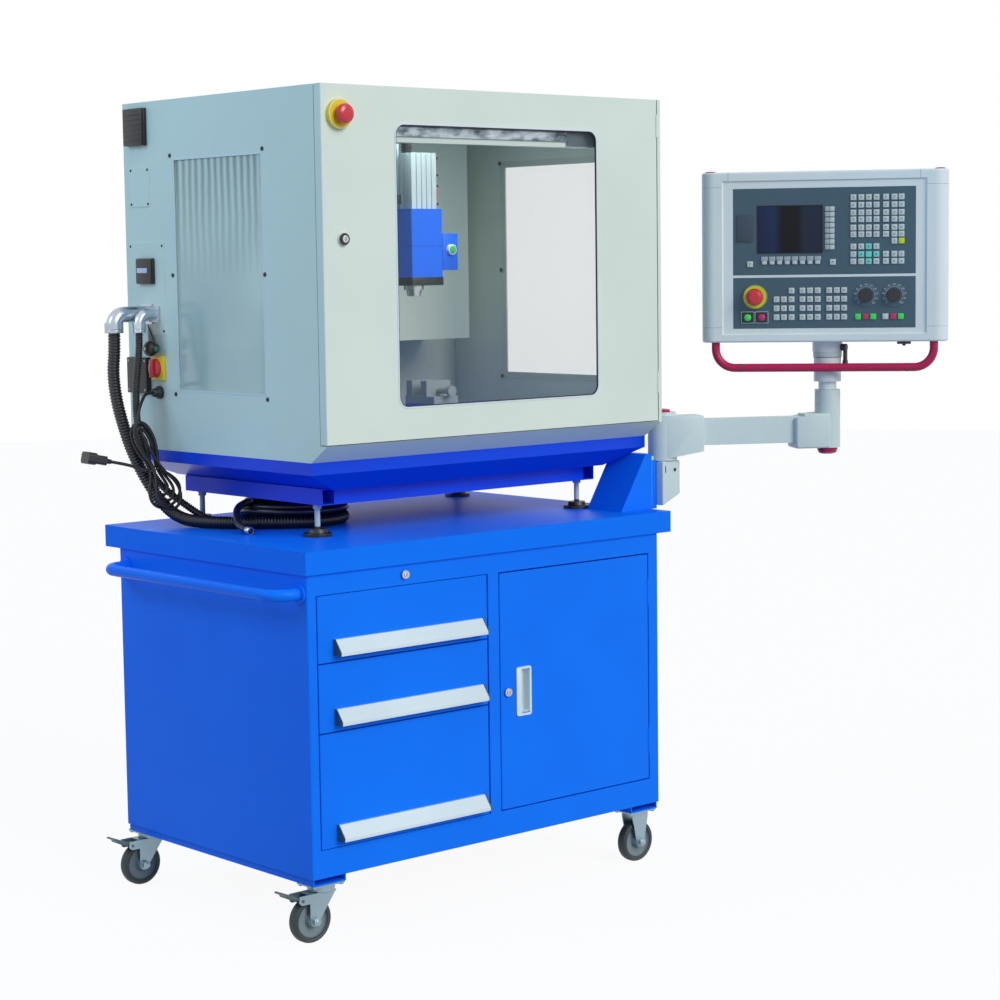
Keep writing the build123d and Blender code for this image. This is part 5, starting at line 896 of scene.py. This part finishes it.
# Each sheet of the recessed pull: name, how much smaller than the pull, corner, band, depth and place
PULL_SHEETS = (("frame", 0.0, 0.0, 0.006, 0.0052, 0.0036, -0.3680),
               ("lining", 0.0098, 0.0128, 0.004, 0.0012, 0.0148, -0.3545),
               ("back", 0.0098, 0.0128, 0.004, 0, 0.0006, -0.3542))
for name, narrower, lower, corner, band, depth, y in PULL_SHEETS:
    sheet = rounded_frame("cupboard_pull_" + name, PULL_WIDTH - narrower, PULL_HEIGHT - lower, corner, band,
                          depth, at(PULL_X, y, PULL_Z) @ FRONT)
    fit(sheet, "cupboard_door", satin_alloy)
lip = block("cupboard_pull_lip", (0.0468, -0.3719, 0.4042), (0.0592, -0.3676, 0.5058), bevel=0.0008)
fit(lip, "cupboard_door", satin_alloy)


def hex_nut(radius, height):
    """Hexagonal nut with chamfered corners and a stud end, its sizes in millimetres."""
    deselect()
    bpy.ops.mesh.primitive_cylinder_add(vertices=6, radius=radius / 1000, depth=height / 1000,
                                        location=(0, 0, height / 2000))
    nut = bpy.context.object
    edit(nut)
    bpy.ops.mesh.bevel(offset=radius * 0.09 / 1000, segments=2, affect="EDGES")
    settle(nut)
    stud = turned("stud", [(0, height * 0.8), (radius * 0.5, height * 0.8), (radius * 0.5, height * 1.15),
                           (radius * 0.4, height * 1.25), (0, height * 1.25)], steps=16)
    return joined([nut, stud], "nut")


plate_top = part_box("caster_plates")[1].z
bolt_places = []
for wheel, body in zip(WHEELS, ("caster_fork_front", "caster_fork_rear", "stand", "stand")):
    centre = middle_of(wheel)
    places = [at(centre.x, centre.y - AXLE_HEAD, centre.z) @ FRONT,
              at(centre.x, centre.y + AXLE_HEAD, centre.z) @ FRONT @ DOWN]
    fit(copies(hex_nut(9.5, 5), places, "axle_nuts_" + wheel), body, zinc)
    pivot_x = centre.x + (FORK_TRAIL if "swivel" in wheel else 0.0)
    bolt_places += [at(pivot_x + x, centre.y + y, plate_top - 0.003) @ DOWN
                    for x in (-0.034, 0.034) for y in (-0.024, 0.024)]
fit(copies(hex_nut(5.5, 4), bolt_places, "caster_bolts"), "stand", zinc)
print("caster bolts", len(bolt_places))

# %% [markdown]
# The left wall carries the electrics, and its moulded forms take the place of the plain solids: boxes with
# lids, a round knob with a green tap behind it, a stepped gland and a shallow rotary switch. The elbows
# bolt on with four screws each and end in knurled collars.

# %% Boxes on the left wall
wall = shell_low.x
on_wall = at(wall, 0, 0) @ LEFT
LID_SHARE = 0.62
LID_INSET = 0.0007
VENT_Y = (0.293, 0.368)
VENT_Z = (1.6575, 1.7400)
LOUVRES = 6
LOUVRE_PITCH = 0.0111


def wall_box(name, y_range, z_range, depth, lift=0.0):
    """Moulded box on the left wall, standing out by depth, with a thin joint round its lid."""
    low_y, high_y = y_range
    low_z, high_z = z_range
    joint = lift + depth * LID_SHARE
    body = block(name, (-high_y, low_z, lift), (-low_y, high_z, joint), on_wall, 0.0016, 3)
    lid = block(name + "_lid", (-high_y + LID_INSET, low_z + LID_INSET, joint),
                (-low_y - LID_INSET, high_z - LID_INSET, lift + depth), on_wall, 0.0020, 3)
    for piece in (body, lid):
        fit(piece)
        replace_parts(piece, "side_boxes")


wall_box("vent_box", VENT_Y, VENT_Z, 0.0150)
louvre = block("louvre", (-VENT_Y[1] + 0.008, -0.0022, 0.0148), (-VENT_Y[0] - 0.008, 0.0022, 0.0162),
               bevel=0.0005)
fit(copies(louvre, [at(wall, 0, VENT_Z[0] + 0.0135 + k * LOUVRE_PITCH) @ LEFT for k in range(LOUVRES)],
           "vent_louvres"))
wall_box("cable_box", (0.272, 0.334), (1.352, 1.409), 0.0110, 0.002)
wall_box("terminal_box", (0.302, 0.383), (1.108, 1.189), 0.0120)
lid_screws = [at(wall - 0.0119, y, z) @ LEFT for y in (0.310, 0.375) for z in (1.116, 1.181)]
fit(copies(dome_screw(2.6, 1.2), lid_screws, "terminal_box_screws"), material=zinc)
display = finish("display", (196, 212, 232), 0.14, grain=60, bump=0.02, mottle=0.06, coat=0.4)
fit(block("cable_box_window", (-0.328, 1.3765, 0.0128), (-0.288, 1.3875, 0.0134), on_wall, 0.0002),
    material=display)
print("left wall at", round(wall, 4))

# %% Knob, gland and switch on the left wall
KNOB_Y, KNOB_Z = (0.274, 1.2095)
on_knob = at(wall, KNOB_Y, KNOB_Z) @ LEFT
on_tap = at(wall - 0.018, KNOB_Y, KNOB_Z) @ FRONT
on_gland = at(wall, 0.265, 1.112) @ LEFT
on_switch = at(wall, 0.2665, 1.1660) @ LEFT
ball = [(0, 0), (9, 0), (9, 6), (13.5, 8.5), (16.5, 14), (17.2, 20), (15.5, 26), (11.5, 30), (6, 31.8),
        (0, 32.2)]
tap_stem = [(0, 0), (4.8, 0), (4.8, 23), (0, 23)]
tap_tip = [(0, 20.5), (5.6, 20.5), (6.2, 23.5), (6.2, 28.5), (4.4, 31), (0, 31)]
gland = [(0, 0), (13.8, 0), (14.4, 2), (14.4, 8.5), (12.5, 10.5), (10, 12), (9.6, 18.5), (7, 22.5),
         (0, 22.5)]
for name, profile, place, steps in (("vent_knob", ball, on_knob, 36), ("tap_stem", tap_stem, on_tap, 20),
                                    ("mains_gland", gland, on_gland, 12)):
    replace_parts(fit(turned(name, profile, place, steps)), "side_boxes")
tap_green = finish("tap_green", (24, 96, 66), 0.4, grain=1200)
fit(turned("tap_tip", tap_tip, on_tap, 20), "stand", tap_green)
pin = block("vent_knob_pin", (-0.0016, -0.0030, 0.0316), (0.0016, 0.0030, 0.0330), on_knob, 0.0004)
fit(pin, "stand", steel)
strap = block("knob_strap", (-0.0140, 0.0, 0.0), (0.0100, 0.0640, 0.0024),
              at(wall - 0.004, KNOB_Y + 0.012, KNOB_Z - 0.010) @ LEFT, 0.0008)
fit(cut(strap, (wall, KNOB_Y + 0.002, KNOB_Z + 0.010), (0, -0.86, 0.50)))
plate = block("switch_plate", (-0.0255, -0.0275, 0.0), (0.0255, 0.0275, 0.0075), on_switch, 0.0022, 3)
collar = turned("switch_collar", [(0, 7), (22.8, 7), (22.8, 9.2), (22, 10), (0, 10)], on_switch, 40)
for piece in (plate, collar):
    fit(piece, "stand", yellow_plastic)
    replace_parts(piece, "main_switch_plate")
handle = turned("switch_handle", [(0, 10.4), (20.4, 10.4), (21.2, 12), (20.8, 16.5), (18.5, 19), (0, 19.6)],
                on_switch, 44)
grip = block("switch_grip", (-0.0052, -0.0200, 0.0150), (0.0052, 0.0200, 0.0258), on_switch, 0.0024, 3)
for piece in (handle, grip):
    fit(piece, "main_switch_knob", red_plastic)
    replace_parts(piece, "main_switch_knob")
mark = block("switch_mark", (-0.0012, 0.0050, 0.0256), (0.0012, 0.0175, 0.0261), on_switch, 0.0002)
fit(mark, "main_switch_knob", white_and_painted_highlight)
ELBOW_Z = 1.286
COLLAR_FOOT = 1.2458
for name, y, reach, x, radius in (("large", 0.304, 0.0165, -0.530, 20.5),
                                  ("small", 0.272, 0.011, -0.486, 14.8)):
    screws = [at(wall - 0.007, y + dy, ELBOW_Z + dz) @ LEFT for dy in (-reach, reach)
              for dz in (-reach, reach)]
    fit(copies(dome_screw(3.6, 2.2), screws, "elbow_screws_" + name), "stand", steel)
    wide = radius + 0.6
    knurled = [(radius - 3, 0), (radius, 0), (wide, 1.5), (wide, 5.5), (radius - 0.6, 7), (wide, 8.5),
               (wide, 20), (radius - 1, 22.5), (radius - 3, 22.5)]
    collar = turned("elbow_collar_" + name, knurled, at(x, y, COLLAR_FOOT), 28)
    fit(collar, "stand", bright_alloy)
print("knob, gland, switch and elbows dressed")

# %% [markdown]
# The control panel is built in its own frame: X along its width, Y out of its back, Z up. The plates hold
# rows of small moulded keys, so one key is modelled for each size and copied to every place of its row.
# The marks on the keys are plain bars and arrows.

# %% Panel frame
elbow = Vector(joints["panel_swivel"]["pos_m"])
PANEL_BOTTOM = 1.195
PANEL_YAW = math.radians(-52)
PANEL = at(elbow.x, elbow.y, PANEL_BOTTOM) @ Matrix.Rotation(PANEL_YAW, 4, "Z") @ at(-0.006, 0, 0)
PLATE_WIDTH = 0.420
PLATE_TOP = 0.357
LOWER = 206.5
FACE_Y = -0.060


def spot(u, v):
    """Place on the panel, u right and v down from the upper plate's top left corner, in millimetres."""
    return PANEL @ at(-PLATE_WIDTH / 2 + u / 1000, FACE_Y, PLATE_TOP - v / 1000)


print("panel at", tuple(round(v, 3) for v in PANEL.to_translation()))

# %% Keys of the upper plate
COLUMNS = (278.0, 296.0, 313.0, 330.7, 352.3, 371.6, 387.7)
grey_keys = [(u, v) for v in (23.6, 41.2, 58.7, 74.4, 93.1, 108.8) for u in COLUMNS]
grey_keys += [(371.6, 124.7), (39.5, 174.5), (231.0, 171.5)]
grey_keys += [(u, v) for v in (136.8, 154.6, 171.0) for u in (278.0, 296.0, 330.7)
              if (u, v) not in ((296.0, 154.6), (330.7, 154.6))]
grey_keys += [(u, v) for v in (154.6, 171.0) for u in COLUMNS[4:]]
arrow_keys = [(313.0, 136.8), (296.0, 154.6), (313.0, 154.6), (330.7, 154.6), (313.0, 171.0)]
lower_keys = [(u, LOWER + v) for row, v in enumerate((30.4, 50.5, 71.3, 92.0))
              for u in (100.8, 117.9, 135.7, 161.0, 178.3, 196.1, 222.6, 240.0, 257.0) if row or u > 120]
FOOT_V = LOWER + 92.0
KEY = 0.0134
KEY_RISE = 0.0034


def key_row(name, places, material, width=KEY, height=KEY, rise=KEY_RISE):
    """One key of this size, copied to every place of the row."""
    key = block("key", (-width / 2, -rise, -height / 2), (width / 2, 0.0003, height / 2), bevel=0.0009)
    return fit(copies(key, [spot(u, v) for u, v in places], name), "panel", material)


cyan, lime, magenta, bright_green = [
    finish(name, colour, 0.45, grain=1800, mottle=0.03)
    for name, colour in (("cyan_key", (120, 222, 206)), ("lime_key", (204, 230, 24)),
                         ("magenta_key", (204, 44, 112)), ("green_key", (62, 234, 96)))]
soft_grey = finish("soft_key_grey", (170, 182, 186), 0.50, grain=1800, mottle=0.03)
key_row("upper_keys", grey_keys, key_grey)
key_row("lower_keys", lower_keys + [(351.6, FOOT_V)], key_grey)
key_row("arrow_keys", arrow_keys, cyan)
key_row("lime_key", [(388.0, 124.7)], lime)
key_row("green_keys", [(u, FOOT_V) for u in (289.0, 323.7, 386.8)], bright_green)
key_row("magenta_keys", [(u, FOOT_V) for u in (306.0, 369.7)], magenta)
key_row("soft_keys_inner", [(218.0, 49.0 + k * 12.6) for k in range(8)], soft_grey, 0.0106, 0.0110)
key_row("soft_keys_outer", [(229.2, 49.0 + k * 12.6) for k in range(8)], key_grey, 0.0110, 0.0110)
key_row("soft_keys_below", [(73.0 + k * 17.6, 162.5) for k in range(8)], soft_grey, 0.0152, 0.0102)
key_row("soft_keys_foot", [(73.0 + k * 17.6, 171.6) for k in range(8)], key_grey, 0.0112, 0.0082)
key_row("card_cover", [(27.0, 91.5)], finish("card_cover", (50, 66, 84), 0.40), 0.0366, 0.0616, 0.0032)
print("keys", len(grey_keys) + len(lower_keys))

# %% Marks on the keys
def bar(width, height, lift):
    """Thin printed bar, a hair above a key's face."""
    return block("bar", (-width / 2, -lift - 0.0001, -height / 2), (width / 2, -lift + 0.0002, height / 2),
                 bevel=0.00004, segments=1)


def triangle(size, lift, turn):
    """Printed arrow head, pointing up before it is turned about the key's axis."""
    deselect()
    bpy.ops.mesh.primitive_cylinder_add(vertices=3, radius=size, depth=0.0003)
    obj = bpy.context.object
    edit(obj)
    bpy.ops.mesh.bevel(offset=0.00004, segments=1, affect="EDGES")
    return settle(obj, Matrix.Rotation(math.radians(turn), 4, "Y") @ at(0, -lift, 0) @ FRONT)


key_mark = finish("key_mark", (70, 84, 92), 0.6, grain=1500)
marked = grey_keys + lower_keys
long_bars = [spot(u, v) @ at(0, 0, 0.0014) for u, v in marked]
short_bars = [spot(u + (-0.8 if k % 3 else 0.9), v) @ at(0, 0, -0.0016) for k, (u, v) in enumerate(marked)]
fit(copies(bar(0.0058, 0.0011, KEY_RISE), long_bars, "key_marks_upper"), "panel", material=key_mark)
fit(copies(bar(0.0036, 0.0011, KEY_RISE), short_bars, "key_marks_lower"), "panel", material=key_mark)
ARROWS = (("up", 0, 0), ("left", 1, -90), ("right", 3, 90), ("down", 4, 180))
for name, index, turn in ARROWS:
    arrow = copies(triangle(0.0028, KEY_RISE + 0.0001, turn), [spot(*arrow_keys[index])], "arrow_" + name)
    fit(arrow, "panel", material=key_mark)
print("marks", len(marked) * 2)

# %% [markdown]
# The screen is a dark, glossy pane in a thin bezel. In the photograph it mirrors a dark upright band, so
# its colour runs across the panel's width, which is one direction of the object's own space.

# %% Screen
panel_x = PANEL.to_3x3() @ Vector((1, 0, 0))
panel_middle = PANEL.to_translation().dot(panel_x)
SCREEN = spot(131.5, 95.0)


def screen_colour(tree, coords):
    across = node(tree, "ShaderNodeVectorMath", {0: coords, 1: panel_x}, operation="DOT_PRODUCT")
    share = add_range(tree, across.outputs["Value"], 0, 1, panel_middle - 0.154, panel_middle - 0.003)
    stops = [(0.0, (32, 44, 78)), (0.26, (36, 50, 88)), (0.38, (16, 20, 28)),
             (0.62, (14, 18, 26)), (0.72, (32, 44, 66)), (1.0, (30, 42, 62))]
    return add_ramp(tree, share, stops)


dark_glass = finish("screen_glass", BLUE, 0.18, grain=60, bump=0.01, gloss=0.18, edge=0,
                    colour_from=screen_colour)
screen = block("screen_glass", (-0.0742, 0.0004, -0.0538), (0.0742, 0.0014, 0.0538), SCREEN, 0.0003)
fit(screen, "panel", material=dark_glass)
fit(rounded_frame("screen_bezel", 0.1530, 0.1120, 0.002, 0.0016, 0.0008, SCREEN @ FRONT), "panel")
print("screen", [round(v, 3) for v in screen.dimensions])

# %% [markdown]
# Each override dial is a ring round its knob with ticks and plain numbers. The stop button gets a yellow
# disc, and the two push buttons coloured lenses in square bezels.

# %% Dials, buttons and lenses
DIALS = ((307.0, 43.0, "feed_knob"), (371.0, 43.0, "speed_knob"))
TICKS = 21
SWEEP = 270
TICK_REACH = 0.0202
NUMBER_REACH = 0.0250
NUMBER_SIZE = 0.0052


def number(value, place):
    """Plain printed number, centred on its place and facing the front of the panel."""
    deselect()
    bpy.ops.object.text_add(location=(0, 0, 0))
    label = bpy.context.object
    label.data.body = str(value)
    label.data.size = NUMBER_SIZE
    label.data.align_x = "CENTER"
    label.data.align_y = "CENTER"
    label.data.extrude = 0.0001
    label.data.resolution_u = 3
    bpy.ops.object.convert(target="MESH")
    return settle(bpy.context.object, place @ FRONT)


dial = [(16.8, 0), (16.8, 1.8), (27, 1.8), (28.4, 1.2), (28.4, 0)]
for u, v, body in DIALS:
    centre = spot(u, LOWER + v)
    fit(turned("dial_" + body, dial, centre @ FRONT, 48), "panel", slate)
    ticks = []
    labels = []
    for k in range(TICKS):
        angle = math.radians(-SWEEP / 2 + SWEEP * k / (TICKS - 1))
        ticks.append(centre @ Matrix.Rotation(angle, 4, "Y") @ at(0, 0, TICK_REACH))
        if k % 2 == 0:
            there = at(NUMBER_REACH * math.sin(angle), -0.0019, NUMBER_REACH * math.cos(angle))
            labels.append(number(10 * k, centre @ there))
    fit(copies(bar(0.0009, 0.0030, 0.0018), ticks, "dial_ticks_" + body), "panel", material=white_and_painted_highlight)
    fit(joined(labels, "dial_numbers_" + body), "panel", material=white_and_painted_highlight)
    pointer = copies(bar(0.0014, 0.0105, 0.0181), [centre @ at(0, 0, 0.0068)], "pointer_" + body)
    fit(pointer, body, material=white_and_painted_highlight)
panel_yellow = finish("panel_yellow", (218, 228, 40), 0.36, grain=1400, mottle=0.03)
stop_disc("panel_stop_disc", "panel", 28.4, 6.4, spot(50.8, LOWER + 44.5) @ FRONT, panel_yellow)
lens = [(0, 0), (7.8, 0), (8, 1), (6.6, 2.2), (3.6, 2.9), (0, 3.1)]
for u, body, material, slot in ((34.0, "start_button", bright_green, "green_plastic"),
                                (66.4, "stop_button", magenta, "red_plastic")):
    button = spot(u, FOOT_V)
    fit(turned(body + "_lens", lens, button @ at(0, -0.0069, 0) @ FRONT, 28), body, material)
    edge = rounded_frame(body + "_bezel", 0.0306, 0.0276, 0.002, 0.0012, 0.0034, button @ FRONT)
    fit(edge, "panel", material=key_grey)
print("dials and buttons placed")

# %% [markdown]
# The panel's housing has seams where its mouldings meet, coloured caps on its columns and joints in its
# grip. The arm's castings are blocks cut to a slope, and a cheek and a small housing join its bracket to
# the pedestal.

# %% Housing trim
SEAM_X = 0.236
PANEL_WIDTH = 0.570
PANEL_DEPTH = 0.109
for height in (0.035, 0.361):
    for name, side in (("left", -1), ("right", 1)):
        seam = rounded_frame("panel_seam_%s_%d" % (name, round(height * 1000)), PANEL_WIDTH + 0.0003,
                             PANEL_DEPTH + 0.0003, 0.0302, 0.0005, 0.0005)
        cut(seam, (side * SEAM_X, 0, 0), (-side, 0, 0), PANEL @ at(0, -0.0095, height))
        fit(seam, "panel", material=key_mark)
column_cap = [(0, 0), (12.5, 0), (12.5, 1.6), (10, 3.4), (0, 4)]
grip_joint = [(9.6, -1), (10.1, -1), (10.1, 1), (9.6, 1)]
for name, x, grip_x in (("left", -0.265, -0.194), ("right", 0.265, 0.192)):
    cap = turned("column_cap_" + name, column_cap, PANEL @ at(x, -0.030, 0.3957), 32)
    fit(cap, "panel", raspberry)
    band = turned("grip_joint_" + name, grip_joint, PANEL @ at(grip_x, -0.04575, -0.060) @ ACROSS, 24)
    fit(band, "panel", key_mark)
places = [PANEL @ at(x, -0.0640, 0.3845) for x in (-0.221, 0.221)]
fit(copies(bar(0.0005, 0.0215, 0.0002), places, "panel_top_seams"), "panel", material=key_mark)
fit(block("panel_catch", (0.168, -0.050, -0.0062), (0.200, -0.022, 0.0003), PANEL, 0.0012), "panel")
catch_screw = [(0, 0), (4, 0), (4, 3), (1.5, 5), (0, 5)]
fit(turned("panel_catch_screw", catch_screw, PANEL @ at(0.184, -0.036, -0.006) @ DOWN, 16), "panel")
print("panel seams at", SEAM_X)

# %% Arm, bracket and neck
ARM_TURN = math.radians(-31)
ROOT_CAST_TOP = 1.0380
pivot = Vector(joints["arm_swing"]["pos_m"])
on_pivot = at(pivot.x, pivot.y, 0)
along_arm = on_pivot @ Matrix.Rotation(ARM_TURN, 4, "Z")
reach = math.hypot(elbow.x - pivot.x, elbow.y - pivot.y)
root_cap = [(0, 0), (18.2, 0), (18.6, 3), (17, 5.8), (11, 7.2), (0, 7.6)]
elbow_cap = [(0, 0.2), (23.6, 0.2), (24, -4), (21, -12), (13, -15.5), (0, -16.5)]
flange = [(27, 1158.5), (33, 1158.5), (33.6, 1160), (33.6, 1179), (33, 1180.2), (27, 1180.2)]
neck_seam = [(27, 0), (32.8, 0), (32.8, 1.2), (27, 1.2)]
fit(turned("arm_root_cap", root_cap, at(pivot.x, pivot.y, ROOT_CAST_TOP), 40), "arm_link",
    raspberry)
fit(turned("arm_elbow_cap", elbow_cap, at(elbow.x, elbow.y, 0.945), 36), "arm_link", raspberry)
shoulder = block("arm_shoulder", (0.0, -0.0342, 0.9300), (0.0920, 0.0342, 1.0290), bevel=0.0035, segments=3)
cut(shoulder, (0.0, 0.0, 0.9302), (0.171, 0.0, -0.985), along_arm)
fit(shoulder, "arm_link", arm_grey)
knuckle = block("arm_knuckle", (reach - 0.0870, -0.0352, 0.9454), (reach - 0.0040, 0.0352, 1.0272),
                bevel=0.0050, segments=4)
cut(knuckle, (reach - 0.0870, 0.0, 1.0175), (-0.17, 0.0, 0.985), along_arm)
fit(knuckle, "arm_link", arm_grey)
fit(turned("neck_flange", flange, at(elbow.x, elbow.y, 0), 48), "panel", arm_grey)
for k, height in enumerate((1.1573, 1.1803)):
    seam = turned("neck_seam_%d" % k, neck_seam, at(elbow.x, elbow.y, height), 48)
    fit(seam, "panel", material=key_mark)
low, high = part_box("arm_pedestal")
CHEEK = 0.0160
CHEEK_TOP = 0.9290
HOUSING_TOP = 0.9250
GAP = 0.0002
cheek = block("pedestal_cheek", (high.x + GAP, low.y - 0.0004, low.z + GAP),
              (high.x + CHEEK, high.y, CHEEK_TOP), bevel=0.0008)
fit(cheek, "stand", cabinet_blue)
cheek_x = high.x + CHEEK
housing = block("bracket_housing", (cheek_x + GAP, low.y - 0.0200, 0.8200),
                (high.x + 0.0740, low.y + 0.0560, HOUSING_TOP), bevel=0.0030, segments=3)
cut(housing, (cheek_x, 0.0, 0.8230), (0.40, 0.0, -0.917))
fit(housing, "stand", arm_grey)
slot_front = low.y - 0.0203
fit(block("bracket_slot", (cheek_x + 0.0080, slot_front, 0.8980),
          (cheek_x + 0.0115, slot_front + 0.001, 0.9140)))
fit(settle(dome_screw(4.2, 2), at(cheek_x + 0.0400, slot_front + 0.0003, 0.9040) @ FRONT))
print("arm reach", round(reach, 3))

# %% [markdown]
# Inside the enclosure the head is blue with a seam, stands on a black nose plate, and carries a grooved
# motor with black clips. A green button in a white ring sits on its side box.

# %% Inside the enclosure
head_low, head_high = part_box("spindle_head")
motor_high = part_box("spindle_motor")[1]
HEAD_LEFT = 0.0015
HEAD_RIGHT = 0.0915
HEAD_FRONT = -0.088
BOX_FRONT = -0.0876
SINK = 0.0004
seam = rounded_frame("head_seam", HEAD_RIGHT - HEAD_LEFT + SINK, 0.1484, 0.003, 0.0006, 0.0008,
                     at((HEAD_LEFT + HEAD_RIGHT) / 2, HEAD_FRONT + 0.074, 1.4284))
fit(seam, "spindle_head", material=finish("seam_blue", (20, 56, 130), 0.5))
cover = block("side_box_cover", (HEAD_RIGHT + 0.0002, BOX_FRONT, 1.3740), (0.1366, -0.0578, 1.4562),
              bevel=0.0018)
fit(cover, "spindle_head", head_blue)
button = at(0.114, BOX_FRONT - 0.0072, 1.4199) @ FRONT
ring = turned("head_button_ring", [(8.6, 0), (8.6, 1.2), (10, 1.8), (11.8, 0.8), (11.8, -8), (8.6, -8)],
              button, 32)
fit(ring, "spindle_head", white_and_painted_highlight)
dome = turned("head_button", [(0, -2), (8.4, -2), (8.4, 3), (7, 4.4), (0, 5)], button, 28)
fit(dome, "spindle_head", green_plastic)
clips = copies(block("clip", (0, -0.004, -0.003), (0.0075, 0.004, 0.003), bevel=0.0022),
               [at(motor_high.x - SINK, -0.0745, z) for z in (1.624, 1.586, 1.562, 1.522)], "motor_clips")
fit(clips, "spindle_head")
# Each block: name, two opposite corners, bevel, slot and finish
BLOCKS = (("nose_plate", (HEAD_LEFT - SINK, HEAD_FRONT - SINK, 1.3406), (HEAD_RIGHT + SINK, 0.0024, 1.3592),
           0.0012, "black_plastic", black_plastic), ("motor_strip", (motor_high.x - SINK, -0.0785, 1.530),
    (motor_high.x + 0.0026, -0.066, 1.556), 0.0006, "red_plastic", red_plastic),
          ("motor_rail", (-0.022, -0.052, 1.511), (-0.002, -0.030, 1.655), 0.001, "aluminium", zinc),
          ("rail_carriage", (-0.020, -0.060, 1.521), (-0.004, -0.049, 1.543), 0.001, "black_plastic",
           black_plastic))
for name, low, high, bevel, slot, material in BLOCKS:
    fit(block(name, low, high, bevel=bevel), "spindle_head", material)
FOLDS = 9
FOLD = 6.5
boot = [(0, 0)]
for k in range(FOLDS):
    boot += [(12.8, 0.5 + k * FOLD), (12.8, 3.5 + k * FOLD), (10.8, 4.8 + k * FOLD)]
boot += [(0, 58.8)]
sleeve = turned("motor_boot", boot, at(0.026, -0.045, motor_high.z - 0.0005), 24)
fit(sleeve, "spindle_head", material=hose_black)
print("head from", [round(v, 3) for v in head_low], "to", [round(v, 3) for v in head_high])
